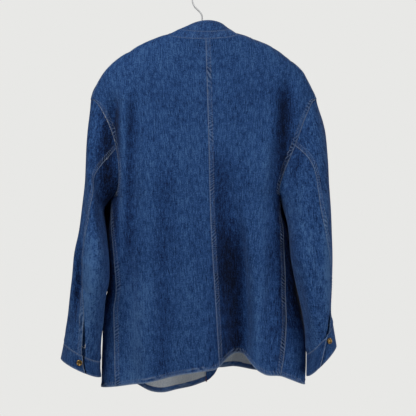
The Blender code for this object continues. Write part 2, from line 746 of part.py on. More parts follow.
def even_edge(row, angles):
    """Points of a collar edge, each as far round its quarter as its angle is round the neckline's."""
    placed = np.zeros_like(angles)
    quarter = math.pi / 2.0
    for start in (-2.0 * quarter, -quarter, 0.0, quarter):
        inside = (angles >= start) & (angles < start + quarter)
        dense = np.linspace(start, start + quarter, ARC_SAMPLES)
        share = np.interp(angles[inside], dense, run_lengths(body_point(dense, 0.0, "left")))
        placed[inside] = np.interp(share, run_lengths(collar_edge(row, dense)), dense)
    return collar_edge(row, placed)


def neckline(angles, read):
    """Points or directions of the panels' top edges round the neck, each half on its own front."""
    on_right = (angles > 0.0)[:, None]
    return np.where(on_right, read(angles, 0.0, "right"), read(angles, 0.0, "left"))


def collar_rows():
    """Outer points and outward directions of the whole collar, from the neckline to its top edge."""
    angles = neck_angles()
    edges = [neckline(angles, body_point), even_edge(STAND_TOP, angles), even_edge(LEAF_TOP, angles)]
    rows = []
    for first, second, count in ((edges[0], edges[1], STAND_ROWS), (edges[1], edges[2], LEAF_ROWS)):
        rows.extend(first + (second - first) * step / count for step in range(count))
    rows.append(edges[2])
    points = np.array(rows)
    normals = unit(np.cross(np.gradient(points, axis=1), np.gradient(points, axis=0)))
    normals[0] = neckline(angles, body_normal)
    return points, normals


def raised_foot(points, normals):
    """Rows with the first moved up by the seam gap, square to its own run."""
    moved = points.copy()
    upward = unit(np.cross(normals[0], np.gradient(points[0], axis=0)))
    moved[0] = points[0] + upward * COLLAR_GAP
    return moved


def add_object(name, mesh, material, smooth):
    """Put a mesh in the scene under a name, with its material."""
    for polygon in mesh.polygons:
        polygon.use_smooth = smooth
    mesh.materials.append(material)
    piece = bpy.data.objects.new(name, mesh)
    bpy.context.scene.collection.objects.link(piece)
    return piece


def wall(name, points, normals, material, near=0.0, thickness=CLOTH):
    """A closed wall from rows of points: its outer face a distance in from them, its inner face behind it."""
    rows = len(points) - 1
    steps = len(points[0]) - 1
    outer = points - normals * near
    inner = points - normals * (near + thickness)
    shape = bmesh.new()
    bmesh.ops.create_grid(shape, x_segments=steps, y_segments=rows, size=0.5)
    first = list(shape.verts)
    bmesh.ops.extrude_face_region(shape, geom=list(shape.faces), use_keep_orig=True)
    for corner in list(shape.verts):
        column = round((corner.co.x + 0.5) * steps)
        row = round((corner.co.y + 0.5) * rows)
        corner.index = row * (steps + 1) + column
    kept = set(first)
    for corner in list(shape.verts):
        row, column = divmod(corner.index, steps + 1)
        corner.co = Vector((outer if corner in kept else inner)[row, column])
    bmesh.ops.recalc_face_normals(shape, faces=list(shape.faces))
    mesh = bpy.data.meshes.new(name)
    shape.to_mesh(mesh)
    shape.free()
    return add_object(name, mesh, material, True)


def tube(name, path, radii, sides, material):
    """A round bar along a path in the plane y = 0, closed at both ends."""
    shape = bmesh.new()
    loops = []
    for index, place in enumerate(path):
        ahead = path[min(index + 1, len(path) - 1)] - path[max(index - 1, 0)]
        turn = Vector((0.0, 0.0, 1.0)).rotation_difference(Vector((ahead[0], 0.0, ahead[1])).normalized())
        matrix = Matrix.Translation((place[0], 0.0, place[1])) @ turn.to_matrix().to_4x4()
        ring = bmesh.ops.create_circle(shape, segments=sides, radius=radii[index], matrix=matrix)["verts"]
        loops.append(ring)
    for first, second in zip(loops, loops[1:]):
        for index in range(sides):
            after = (index + 1) % sides
            shape.faces.new((first[index], first[after], second[after], second[index]))
    shape.faces.new(loops[0])
    shape.faces.new(loops[-1])
    bmesh.ops.recalc_face_normals(shape, faces=list(shape.faces))
    mesh = bpy.data.meshes.new(name)
    shape.to_mesh(mesh)
    shape.free()
    return add_object(name, mesh, material, True)


def button(name, place, outward, radius, material):
    """A low round button seated just off the cloth at a place."""
    turn = Vector((0.0, 0.0, 1.0)).rotation_difference(Vector(outward))
    centre = Vector(place) + Vector(outward) * (BUTTON_SEAT + BUTTON_HEIGHT / 2.0)
    matrix = Matrix.Translation(centre) @ turn.to_matrix().to_4x4()
    shape = bmesh.new()
    bmesh.ops.create_cone(
        shape,
        cap_ends=True,
        segments=BUTTON_SIDES,
        radius1=radius,
        radius2=radius * BUTTON_TOP_RATIO,
        depth=BUTTON_HEIGHT,
        matrix=matrix,
    )
    mesh = bpy.data.meshes.new(name)
    shape.to_mesh(mesh)
    shape.free()
    return add_object(name, mesh, material, False)


def make_materials():
    """One plain material for each named finish."""
    made = {}
    for name, (colour, roughness, metallic) in MATERIALS.items():
        material = bpy.data.materials.new(name)
        material.use_nodes = True
        shader = material.node_tree.nodes["Principled BSDF"]
        shader.inputs["Base Color"].default_value = colour
        shader.inputs["Roughness"].default_value = roughness
        shader.inputs["Metallic"].default_value = metallic
        made[name] = material
    return made


def build_body(denim):
    """Backs, fronts and facings."""
    shares = body_shares()
    for side in ("left", "right"):
        points, normals = body_rows(back_angles, side, shares)
        set_armhole_normals(normals, shares, side, "back")
        wall(f"back_{side}", points, normals, denim)
        points, normals = body_rows(front_angles, side, shares)
        set_armhole_normals(normals, shares, side, "front")
        wall(f"front_{side}", points, normals, denim)
        points, normals = body_rows(facing_angles, side, shares)
        wall(f"facing_{side}", points, normals, denim, near=CLOTH + SEAM_GAP, thickness=FACING_CLOTH)


def build_sleeves(denim):
    """Upper and under sleeves, and the cuffs."""
    sections = np.linspace(0.0, 1.0, SLEEVE_ROWS + 1) ** SLEEVE_CROWDING * SLEEVE_END
    for side in ("left", "right"):
        last = sleeve_point(side, 0.0, SLEEVE_END) - sleeve_point(side, 0.0, SLEEVE_END - SECTION_STEP)
        sections[-1] = SLEEVE_END - SECTION_STEP * CUFF_SEAM_GAP / float(np.linalg.norm(last))
        points, normals = sleeve_rows(upper_turns, side, sections)
        wall(f"sleeve_{side}_upper", points, normals, denim)
        points, normals = sleeve_rows(under_turns, side, sections)
        wall(f"sleeve_{side}_under", points, normals, denim)
        points, normals = sleeve_rows(cuff_turns, side, np.linspace(SLEEVE_END, CUFF_END, CUFF_ROWS + 1))
        wall(f"cuff_{side}", points, normals, denim, thickness=CUFF_CLOTH)


def build_collar(denim):
    """The stand on the neckline, and the leaf on the stand."""
    points, normals = collar_rows()
    stand = slice(0, STAND_ROWS + 1)
    leaf = slice(STAND_ROWS, None)
    wall("collar_stand", raised_foot(points[stand], normals[stand]), normals[stand], denim)
    wall("collar_leaf", raised_foot(points[leaf], normals[leaf]), normals[leaf], denim)


def build_buttons(brass):
    """Front buttons down the lap, and one on each cuff."""
    for number, share in enumerate(FRONT_BUTTON_SHARES, start=1):
        angle = -math.pi
        place = body_point(angle, share, "left")
        outward = body_normal(angle, share, "left")
        button(f"button_front_{number}", place, outward, BUTTON_RADIUS, brass)
    for side in ("left", "right"):
        turn = np.array(math.radians(float(SEAM_ANGLE[side](CUFF_BUTTON_SECTION)) + CUFF_BUTTON_TURN[side]))
        section = np.array(CUFF_BUTTON_SECTION)
        place = sleeve_point(side, turn, section)
        outward = sleeve_normal(side, turn, section)
        button(f"button_cuff_{side}", place, outward, CUFF_BUTTON_RADIUS, brass)


def arm_path(side):
    """One arm of the hanger, under the cloth of the shoulder, from the neck to its end."""
    shares = shoulder_shares()[:ARM_ROWS]
    angles = np.full_like(shares, side_sign(side) * math.pi / 2.0)
    path = body_point(angles, shares, side) - body_normal(angles, shares + SLOPE_STEP, side) * ARM_SEAT
    return path[:, [0, 2]]


def build_hanger(plastic, steel):
    """The arms in one bar, and the wire hook above them."""
    middle = np.array([[0.0, -ARM_MIDDLE_DROP]])
    path = np.concatenate([arm_path("left")[::-1], middle, arm_path("right")])
    radii = np.full(len(path), ARM_RADIUS)
    radii[[0, -1]] = ARM_RADIUS * ARM_END_RATIO
    tube("hanger_arms", path, radii, ARM_SIDES, plastic)
    angles = np.radians(np.linspace(HOOK_TIP_ANGLE, HOOK_LEAVE_ANGLE, HOOK_STEPS))
    middle_drop = HOOK_LOOP - HOOK_WIRE
    loop = np.stack([HOOK_LOOP * np.cos(angles), HOOK_LOOP * np.sin(angles) - middle_drop], axis=-1)
    foot = np.array([[0.0, -ARM_MIDDLE_DROP + ARM_RADIUS + SEAM_GAP]])
    path = np.concatenate([loop, np.array(HOOK_NECK), foot])
    tube("hanger_hook", path, np.full(len(path), HOOK_WIRE), HOOK_SIDES, steel)


def main():
    """Clear the scene and build every piece."""
    for piece in list(bpy.data.objects):
        bpy.data.objects.remove(piece, do_unlink=True)
    made = make_materials()
    build_body(made["denim"])
    build_sleeves(made["denim"])
    build_collar(made["denim"])
    build_buttons(made["brass"])
    build_hanger(made["plastic"], made["steel"])


main()
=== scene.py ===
"""Denim coverall jacket on its hanger: cloth, sewing, buttons, hanger and stage, as a Blender add-on.

Metres, +Z up, the jacket's back towards -Y. Left and right are the wearer's: left is -X.
A drop is a depth below the origin. On the body an angle runs from the middle of the back and a share
runs from the neckline (0) to the hem (1). On a sleeve a turn runs from its outer edge round the back,
and a section runs from the armhole (0) to the cuff's end (8).
"""

import math
from types import SimpleNamespace

import bmesh
import bpy
import numpy as np
from bpy.props import FloatProperty, FloatVectorProperty, PointerProperty
from mathutils import Matrix, Vector


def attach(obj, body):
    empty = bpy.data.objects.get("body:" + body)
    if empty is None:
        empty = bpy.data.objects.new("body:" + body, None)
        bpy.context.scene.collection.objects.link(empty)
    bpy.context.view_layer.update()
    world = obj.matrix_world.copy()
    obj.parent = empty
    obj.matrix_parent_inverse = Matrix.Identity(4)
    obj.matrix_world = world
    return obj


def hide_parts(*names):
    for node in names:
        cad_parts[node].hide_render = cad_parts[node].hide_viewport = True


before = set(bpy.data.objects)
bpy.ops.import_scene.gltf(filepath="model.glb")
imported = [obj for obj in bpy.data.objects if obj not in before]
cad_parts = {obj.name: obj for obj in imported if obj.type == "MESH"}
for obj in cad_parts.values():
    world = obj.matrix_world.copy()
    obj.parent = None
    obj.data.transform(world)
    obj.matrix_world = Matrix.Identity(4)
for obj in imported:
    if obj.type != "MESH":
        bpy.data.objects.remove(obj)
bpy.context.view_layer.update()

bl_info = {
    "name": "Denim coverall jacket",
    "version": (1, 0, 0),
    "blender": (4, 5, 0),
    "location": "3D View > Sidebar > Jacket",
    "description": "Builds a washed denim coverall jacket that hangs on a hanger",
    "category": "Add Mesh",
}

SIDES = ("left", "right")

# Cloth and seams
CLOTH = 0.0015
CUFF_CLOTH = 0.0024
FACING_CLOTH = 0.0012
SEAM_GAP = 0.0003
ARMHOLE_GAP = 0.0004
ARMHOLE_EASE = 0.0009
SLEEVE_SEAM_GAP = 0.0005
SIDE_SEAM_GAP = 0.0006
CUFF_SEAM_GAP = 0.00045
CENTRE_X = 0.002

# Body: the form's sections from the neck points to below the hem
BODY_COLUMNS = ("drop", "left_half", "right_half", "back_depth", "front_depth", "squareness", "front_side")
BODY_SECTIONS = (
    (0.103, 0.069, 0.072, 0.040, 0.040, 2.0, 0.000),
    (0.117, 0.112, 0.114, 0.042, 0.041, 2.0, 0.000),
    (0.134, 0.147, 0.152, 0.044, 0.043, 2.0, 0.000),
    (0.152, 0.176, 0.178, 0.046, 0.045, 2.0, 0.000),
    (0.169, 0.198, 0.200, 0.048, 0.047, 2.0, 0.000),
    (0.187, 0.216, 0.218, 0.050, 0.049, 2.0, 0.000),
    (0.205, 0.229, 0.229, 0.052, 0.050, 2.0, 0.000),
    (0.222, 0.238, 0.238, 0.054, 0.052, 2.0, 0.000),
    (0.248, 0.246, 0.250, 0.057, 0.054, 2.0, 0.000),
    (0.304, 0.240, 0.246, 0.061, 0.058, 2.1, 0.000),
    (0.354, 0.227, 0.229, 0.065, 0.061, 2.2, 0.000),
    (0.407, 0.213, 0.200, 0.068, 0.063, 2.3, 0.000),
    (0.442, 0.204, 0.179, 0.070, 0.064, 2.4, 0.000),
    (0.460, 0.200, 0.170, 0.070, 0.065, 2.4, 0.011),
    (0.477, 0.201, 0.171, 0.070, 0.065, 2.4, 0.034),
    (0.495, 0.202, 0.172, 0.071, 0.066, 2.5, 0.047),
    (0.530, 0.206, 0.183, 0.072, 0.066, 2.5, 0.036),
    (0.600, 0.208, 0.197, 0.072, 0.067, 2.5, 0.014),
    (0.667, 0.210, 0.208, 0.071, 0.067, 2.5, 0.022),
    (0.700, 0.218, 0.215, 0.070, 0.067, 2.6, 0.004),
    (0.733, 0.220, 0.221, 0.069, 0.066, 2.6, 0.000),
    (0.777, 0.221, 0.225, 0.068, 0.066, 2.6, 0.000),
    (0.821, 0.222, 0.226, 0.066, 0.064, 2.6, 0.000),
    (0.876, 0.223, 0.222, 0.064, 0.062, 2.6, 0.000),
    (0.910, 0.223, 0.218, 0.063, 0.061, 2.6, 0.000),
)
FRONT_SIDE_FACING = (0.09, 0.42)

# Neckline: its drop at the neck points, how far the back dips, and the front by angle
NECK_DROP = 0.1035
NECK_BACK_DIP = 0.0185
NECK_FRONT_COLUMNS = ("angle", "drop")
NECK_FRONT = (
    (90.0, 0.1035),
    (105.0, 0.1041),
    (115.0, 0.1055),
    (125.0, 0.1080),
    (135.0, 0.1120),
    (141.0, 0.1158),
    (148.0, 0.1233),
    (154.0, 0.1335),
    (160.0, 0.1480),
    (166.0, 0.1658),
    (172.0, 0.1825),
    (180.0, 0.1910),
)

# Hem edges: drop by sideways place from the middle line
HEM_HALF = 0.220
HEM_COLUMNS = ("across", "drop")
HEM_BACK = (
    (-0.220, 0.877),
    (-0.183, 0.871),
    (-0.143, 0.865),
    (-0.092, 0.854),
    (-0.050, 0.844),
    (-0.006, 0.836),
    (0.034, 0.826),
    (0.048, 0.811),
    (0.061, 0.801),
    (0.075, 0.799),
    (0.087, 0.803),
    (0.097, 0.814),
    (0.110, 0.829),
    (0.128, 0.842),
    (0.166, 0.848),
    (0.185, 0.856),
    (0.220, 0.872),
)
HEM_FRONT = {
    "left": (
        (-0.220, 0.877),
        (-0.183, 0.874),
        (-0.150, 0.879),
        (-0.114, 0.896),
        (-0.082, 0.901),
        (-0.060, 0.897),
        (-0.007, 0.882),
        (0.018, 0.869),
        (0.030, 0.853),
        (0.038, 0.830),
    ),
    "right": (
        (-0.018, 0.800),
        (-0.008, 0.824),
        (0.008, 0.838),
        (0.030, 0.845),
        (0.068, 0.843),
        (0.108, 0.847),
        (0.158, 0.857),
        (0.220, 0.872),
    ),
}

# Seams of the body: middle of the back, armholes, and angle of each side seam from armhole (0) to hem (1)
BACK_SEAM_COLUMNS = ("drop", "across")
BACK_SEAM = (
    (0.117, 0.0055),
    (0.337, 0.0120),
    (0.517, 0.0165),
    (0.616, 0.0220),
    (0.686, 0.0265),
    (0.830, 0.0350),
)
ARMHOLE_TOP = 0.188
ARMHOLE_LOW = 0.4615
SIDE_COLUMNS = ("share", "left", "right")
SIDE_SEAM = (
    (0.0, 90.0, 90.0),
    (0.15, 76.0, 74.0),
    (0.5, 64.0, 60.0),
    (1.0, 58.0, 48.0),
)
ARMHOLE_BACK_BOW = {"left": 0.17, "right": 0.13}
ARMHOLE_FRONT_BOW = {"left": 0.15, "right": 0.15}
ARMHOLE_MATCH = (-0.2, 0.5)

# Front edges and how they lap: the left front lies outside
LEFT_EDGE_ANGLE = 10.0
RIGHT_EDGE_ANGLE = 4.5
LAP_STEP = 0.0044
LAP_FROM = 0.046
LAP_WIDTH = 0.026
LAP_FACING = (0.3, 0.8)
FACING_WIDTH = 0.058

# Folds of the body: across at the upper and lower end, bow between, drops where each starts, is full, ends
FOLD_FACING = (0.05, 0.5)
FOLD_COLUMNS = (
    "face", "across_top", "across_low", "bow", "start", "full", "full_to", "end",
    "left_width", "right_width", "height",
)
BODY_FOLDS = (
    ("back", 0.008, 0.057, 0.058, 0.300, 0.760, 0.900, 1.000, 0.034, 0.015, -0.036),
    ("back", 0.139, 0.093, 0.000, 0.260, 0.420, 0.900, 1.000, 0.024, 0.022, 0.009),
    ("back", 0.190, 0.168, 0.000, 0.190, 0.250, 0.400, 0.490, 0.018, 0.011, -0.014),
    ("back", -0.118, -0.108, 0.000, 0.260, 0.420, 0.800, 0.960, 0.036, 0.036, 0.007),
    ("back", -0.080, -0.075, 0.000, 0.420, 0.620, 0.900, 1.000, 0.026, 0.030, -0.008),
    ("back", -0.171, -0.170, 0.000, 0.200, 0.260, 0.420, 0.560, 0.010, 0.012, 0.007),
    ("back", -0.194, -0.190, 0.000, 0.215, 0.270, 0.430, 0.520, 0.014, 0.010, -0.013),
    ("back", -0.152, -0.150, 0.000, 0.230, 0.300, 0.460, 0.600, 0.012, 0.014, -0.005),
    ("back", -0.165, -0.150, 0.000, 0.520, 0.660, 0.900, 1.000, 0.024, 0.024, -0.010),
    ("front", -0.120, -0.115, 0.000, 0.380, 0.600, 0.900, 1.000, 0.034, 0.034, -0.018),
    ("front", -0.058, -0.066, 0.000, 0.340, 0.560, 0.900, 1.000, 0.028, 0.028, 0.009),
    ("front", 0.105, 0.118, 0.000, 0.340, 0.600, 0.900, 1.000, 0.030, 0.030, -0.020),
    ("front", 0.165, 0.162, 0.000, 0.380, 0.560, 0.860, 1.000, 0.024, 0.024, 0.008),
)

# Painted shade and light on the body, in the same columns: darker in the folds and hollows where shade falls,
# paler on the ridges where light catches them and the cloth rubs
BODY_PAINTED_SHADE_AND_LIGHT = (
    ("back", 0.064, 0.082, 0.000, 0.470, 0.640, 1.000, 1.200, 0.034, 0.020, -0.92),
    ("back", 0.026, 0.044, 0.000, 0.320, 0.420, 0.600, 0.740, 0.014, 0.036, -0.45),
    ("back", 0.174, 0.182, 0.000, 0.190, 0.270, 0.720, 0.900, 0.020, 0.022, -0.85),
    ("back", -0.186, -0.192, 0.000, 0.240, 0.300, 0.480, 0.620, 0.012, 0.010, -0.85),
    ("back", -0.150, -0.164, 0.000, 0.200, 0.290, 0.540, 0.660, 0.009, 0.012, -0.45),
    ("back", -0.088, -0.080, 0.000, 0.300, 0.460, 0.860, 1.000, 0.020, 0.020, -0.26),
    ("back", -0.172, -0.180, 0.000, 0.210, 0.270, 0.480, 0.600, 0.006, 0.007, 0.25),
    ("back", -0.118, -0.108, 0.000, 0.340, 0.460, 0.640, 0.760, 0.012, 0.012, 0.10),
    ("back", -0.122, -0.176, 0.000, 0.600, 0.720, 0.940, 1.100, 0.020, 0.024, 0.40),
    ("back", 0.146, 0.106, 0.000, 0.230, 0.340, 0.900, 1.000, 0.009, 0.009, 0.20),
    ("front", -0.120, -0.115, 0.000, 0.380, 0.600, 0.900, 1.000, 0.022, 0.022, -0.30),
    ("front", 0.105, 0.118, 0.000, 0.340, 0.600, 0.900, 1.000, 0.020, 0.020, -0.32),
    ("front", -0.225, -0.225, 0.000, 0.400, 0.460, 0.640, 0.760, 0.040, 0.034, -1.20),
    ("front", 0.196, 0.210, 0.000, 0.400, 0.460, 0.660, 0.820, 0.034, 0.040, -1.10),
)

# Sleeves: edges of each section as seen from behind, from below the armhole to the cuff's end
SLEEVE_COLUMNS = ("outer_x", "outer_drop", "inner_x", "inner_drop", "half_depth", "middle_y")
SLEEVE_SECTIONS = {
    "left": (
        (-0.251, 0.315, -0.213, 0.486, 0.055, -0.005),
        (-0.255, 0.417, -0.211, 0.517, 0.059, -0.019),
        (-0.261, 0.504, -0.206, 0.549, 0.057, -0.036),
        (-0.270, 0.572, -0.200, 0.592, 0.053, -0.046),
        (-0.279, 0.642, -0.200, 0.642, 0.051, -0.049),
        (-0.285, 0.693, -0.209, 0.693, 0.049, -0.046),
        (-0.298, 0.775, -0.219, 0.816, 0.047, -0.037),
        (-0.305, 0.810, -0.218, 0.851, 0.048, -0.035),
    ),
    "right": (
        (0.270, 0.341, 0.174, 0.477, 0.055, -0.005),
        (0.275, 0.433, 0.187, 0.526, 0.059, -0.020),
        (0.280, 0.538, 0.191, 0.588, 0.057, -0.036),
        (0.280, 0.624, 0.200, 0.637, 0.054, -0.044),
        (0.277, 0.685, 0.212, 0.694, 0.052, -0.047),
        (0.278, 0.714, 0.222, 0.750, 0.049, -0.045),
        (0.283, 0.736, 0.226, 0.800, 0.046, -0.038),
        (0.291, 0.783, 0.226, 0.849, 0.048, -0.035),
    ),
}
SLEEVE_END = 7.0
CUFF_END = 8.0
FRONT_SEAM_ANGLE = 90.0
BACK_SEAM_ANGLE_COLUMNS = ("section", "angle")
SLEEVE_BACK_SEAM = {
    "left": (
        (0.0, 90.0),
        (1.1, 100.0),
        (2.5, 82.0),
        (3.7, 65.0),
        (4.5, 66.0),
        (6.5, 97.0),
        (8.0, 112.0),
    ),
    "right": (
        (0.0, 90.0),
        (1.4, 70.0),
        (2.2, 66.0),
        (3.1, 50.0),
        (4.0, 30.0),
        (5.4, 22.0),
        (6.4, 50.0),
        (8.0, 97.0),
    ),
}
VENT_FROM = {"left": 6.1, "right": 5.2}
VENT_EASE = 0.8
VENT_HALF_GAP = 0.0035

# Folds of the sleeves: place round and along each sleeve, their reach and height
SLEEVE_FOLDS_FROM = 0.8
SLEEVE_FOLD_COLUMNS = ("side", "angle", "section", "half_angle", "half_length", "height")
SLEEVE_FOLDS = (
    ("left", 40.0, 2.0, 34.0, 1.2, -0.006),
    ("left", 118.0, 4.7, 26.0, 1.7, 0.011),
    ("left", 50.0, 5.0, 15.0, 1.9, -0.011),
    ("left", 20.0, 4.2, 40.0, 0.7, 0.002),
    ("right", 120.0, 3.0, 32.0, 1.6, 0.006),
    ("right", 84.0, 3.6, 18.0, 1.6, -0.006),
    ("right", 30.0, 2.2, 30.0, 1.0, 0.004),
    ("right", 0.0, 0.5, 40.0, 0.5, 0.007),
    ("right", 150.0, 4.6, 24.0, 1.0, -0.005),
    ("left", 280.0, 3.0, 34.0, 1.6, -0.006),
    ("right", 280.0, 3.4, 34.0, 1.6, -0.006),
)

# Collar: top edges of the stand and of the turned-up leaf
COLLAR_COLUMNS = (
    "middle_x", "half_width", "back_depth", "front_depth", "back_drop", "side_drop", "front_drop",
)
STAND_TOP = (0.006, 0.058, 0.0385, 0.039, 0.1035, 0.0945, 0.166)
LEAF_TOP = (0.011, 0.044, 0.0300, 0.033, 0.0785, 0.0885, 0.142)
COLLAR_END_ANGLE = 177.0
COLLAR_GAP = 0.0005

# Buttons
BUTTON_RADIUS = 0.0085
BUTTON_HEIGHT = 0.0034
BUTTON_SEAT = 0.0005
FRONT_BUTTON_SHARES = (0.07, 0.245, 0.42, 0.595, 0.77)
CUFF_BUTTON_RADIUS = 0.0065
CUFF_BUTTON_SECTION = 7.35
CUFF_BUTTON_TURN = {"left": -14.0, "right": -16.0}

# Hanger
ARM_RADIUS = 0.005
ARM_SEAT = 0.0073
ARM_ROWS = 7
ARM_MIDDLE_DROP = 0.1120
ARM_PART_ROWS = 9
ARM_END_RATIO = 0.6
ARM_STEPS = 60
ARM_SIDES = 24
HOOK_WIRE = 0.0018
HOOK_LOOP = 0.0220
HOOK_TIP_ANGLE = -12.0
HOOK_LEAVE_ANGLE = 195.0
HOOK_KNOTS = 22
HOOK_STEPS = 120
HOOK_SIDES = 16
HOOK_NECK = (
    (-0.0200, -0.0360),
    (-0.0154, -0.0447),
    (-0.0088, -0.0512),
    (-0.0035, -0.0570),
    (-0.0007, -0.0620),
    (0.0000, -0.0680),
)

# Fine grid: how far apart rows and columns stand, closer beside the edges where the sewing is
EDGE_STEPS = (
    0.0, 0.0008, 0.0016, 0.0028, 0.0042, 0.0058, 0.0074, 0.0088, 0.0098, 0.0108, 0.0122, 0.0145, 0.018,
)
SHOULDER_ROWS = 44
ARMHOLE_ROWS = 96
LOWER_ROWS = 150
BODY_LENGTH = 0.74
BACK_MIDDLE_STEPS = 40
FRONT_MIDDLE_STEPS = 44
FACING_STEPS = 10
SLEEVE_ROWS = 190
SLEEVE_CROWDING = 1.15
SLEEVE_MIDDLE_STEPS = 26
CUFF_ROWS = 26
CUFF_MIDDLE_STEPS = 84
STAND_ROWS = 12
LEAF_ROWS = 16
NECK_STEPS = 150
ARC_SAMPLES = 300
SLOPE_STEP = 0.0008
SECTION_STEP = 0.004
TURN_STEP = 0.12
NEARLY_ZERO = 1e-6

# Small creases on the forms: end points seen square to the back, half width and height of each
CREASE_COLUMNS = ("piece", "face", "x_1", "drop_1", "x_2", "drop_2", "half_width", "height")
CREASES = (
    ("body", "back", -0.150, 0.205, -0.182, 0.330, 0.0110, 0.0022),
    ("body", "back", -0.128, 0.255, -0.160, 0.395, 0.0120, -0.0020),
    ("body", "back", 0.128, 0.215, 0.172, 0.300, 0.0120, 0.0024),
    ("body", "back", 0.100, 0.240, 0.150, 0.350, 0.0120, -0.0022),
    ("body", "back", -0.070, 0.250, -0.064, 0.520, 0.0130, 0.0022),
    ("body", "back", -0.018, 0.330, -0.012, 0.660, 0.0100, -0.0020),
    ("body", "back", -0.095, 0.560, -0.082, 0.800, 0.0120, -0.0024),
    ("body", "back", -0.135, 0.600, -0.128, 0.820, 0.0110, 0.0022),
    ("body", "back", 0.098, 0.430, 0.106, 0.700, 0.0090, 0.0026),
    ("body", "back", 0.150, 0.560, 0.146, 0.760, 0.0110, -0.0030),
    ("body", "back", 0.032, 0.180, 0.040, 0.300, 0.0110, -0.0016),
    ("body", "back", -0.185, 0.690, -0.178, 0.830, 0.0080, -0.0022),
    ("body", "front", -0.150, 0.215, -0.176, 0.340, 0.0110, 0.0024),
    ("body", "front", 0.146, 0.220, 0.178, 0.345, 0.0110, 0.0024),
    ("body", "front", -0.090, 0.300, -0.096, 0.560, 0.0120, -0.0022),
    ("body", "front", 0.080, 0.280, 0.090, 0.520, 0.0120, -0.0024),
    ("body", "front", -0.030, 0.620, -0.038, 0.820, 0.0110, 0.0020),
    ("body", "front", 0.140, 0.560, 0.134, 0.790, 0.0110, 0.0026),
    ("sleeve_left", "back", -0.252, 0.400, -0.222, 0.470, 0.0080, 0.0024),
    ("sleeve_left", "back", -0.262, 0.470, -0.226, 0.540, 0.0080, -0.0022),
    ("sleeve_left", "back", -0.262, 0.590, -0.226, 0.612, 0.0070, 0.0020),
    ("sleeve_left", "back", -0.274, 0.640, -0.232, 0.668, 0.0080, -0.0024),
    ("sleeve_left", "back", -0.266, 0.700, -0.238, 0.760, 0.0075, 0.0024),
    ("sleeve_left", "back", -0.286, 0.700, -0.280, 0.756, 0.0060, -0.0018),
    ("sleeve_left", "back", -0.227, 0.570, -0.232, 0.706, 0.0140, 0.0085),
    ("sleeve_left", "back", -0.258, 0.570, -0.262, 0.730, 0.0070, -0.0050),
    ("sleeve_left", "front", -0.262, 0.420, -0.216, 0.490, 0.0090, 0.0028),
    ("sleeve_left", "front", -0.272, 0.560, -0.214, 0.590, 0.0090, -0.0028),
    ("sleeve_left", "front", -0.280, 0.640, -0.224, 0.690, 0.0090, 0.0026),
    ("sleeve_right", "back", 0.206, 0.420, 0.262, 0.470, 0.0090, 0.0024),
    ("sleeve_right", "back", 0.196, 0.500, 0.250, 0.560, 0.0090, -0.0024),
    ("sleeve_right", "back", 0.206, 0.590, 0.246, 0.630, 0.0080, 0.0022),
    ("sleeve_right", "back", 0.222, 0.650, 0.240, 0.740, 0.0080, 0.0026),
    ("sleeve_right", "back", 0.262, 0.640, 0.256, 0.720, 0.0070, -0.0022),
    ("sleeve_right", "front", 0.206, 0.470, 0.266, 0.420, 0.0090, 0.0028),
    ("sleeve_right", "front", 0.212, 0.590, 0.270, 0.560, 0.0090, -0.0028),
    ("sleeve_right", "front", 0.222, 0.690, 0.272, 0.640, 0.0090, 0.0026),
)
CREASE_FACING = (0.05, 0.45)
CREASE_TAPER = 0.35

# Painted shade and light on the sleeves, in the same columns: darker in their hollows and beside the body
# where shade falls, paler where light catches them and the cloth rubs
SLEEVE_PAINTED_SHADE_AND_LIGHT = (
    ("sleeve_left", "back", -0.204, 0.300, -0.203, 0.520, 0.0170, -1.00),
    ("sleeve_left", "back", -0.229, 0.575, -0.246, 0.740, 0.0190, 0.66),
    ("sleeve_left", "back", -0.259, 0.560, -0.270, 0.730, 0.0060, -0.70),
    ("sleeve_left", "front", -0.250, 0.560, -0.262, 0.720, 0.0170, 0.25),
    ("sleeve_right", "back", 0.262, 0.500, 0.270, 0.700, 0.0080, 0.50),
    ("sleeve_right", "back", 0.214, 0.330, 0.196, 0.440, 0.0120, -0.35),
    ("sleeve_right", "front", 0.244, 0.540, 0.254, 0.700, 0.0160, 0.25),
)

# Slackness of the whole cloth: wavelength across and down, start and height of a few slow waves
SLACK_WAVES = (
    (0.083, 0.310, 0.4, 0.00070),
    (0.046, 0.190, 1.9, 0.00042),
    (0.131, 0.097, 3.1, 0.00040),
    (0.029, 0.120, 5.2, 0.00022),
)
SLACK_DEPTH = 3.0
SLACK_CALM = 0.016

# Laps: how far the left back runs under the right one's band, and how the two ends of a cuff lie
CENTRE_LAP = 0.0016
CUFF_LAP = 0.0060
CUFF_OPEN = 0.0018
CUFF_LAP_RISE = {"left": -0.0055, "right": 0.0042}
CUFF_LAP_REACH = 0.011

# Puckers along the sewn bands: spacing, wavelength and size of its wander, and of its swell with the
# ratio of the swell's start to the edge's own
PUCKER_SPACING = 0.0060
PUCKER_WANDER = (0.047, 2.3)
PUCKER_SWELL = (0.118, 0.45, 1.7)
PUCKER_SLANT = 0.5

# Where the waves of each sewn edge start, so that no two run alike
BAND_START = {"left": 1.3, "right": 4.1}
FRONT_BAND_SHIFT = 0.9
HEM_SHIFT = 2.0
MIDDLE_BAND_START = 2.2
SLEEVE_BAND_START = {"left": 3.3, "right": 5.7}
GATHER_START = {"upper": 0.7, "under": 2.9}
CUFF_START = 1.1

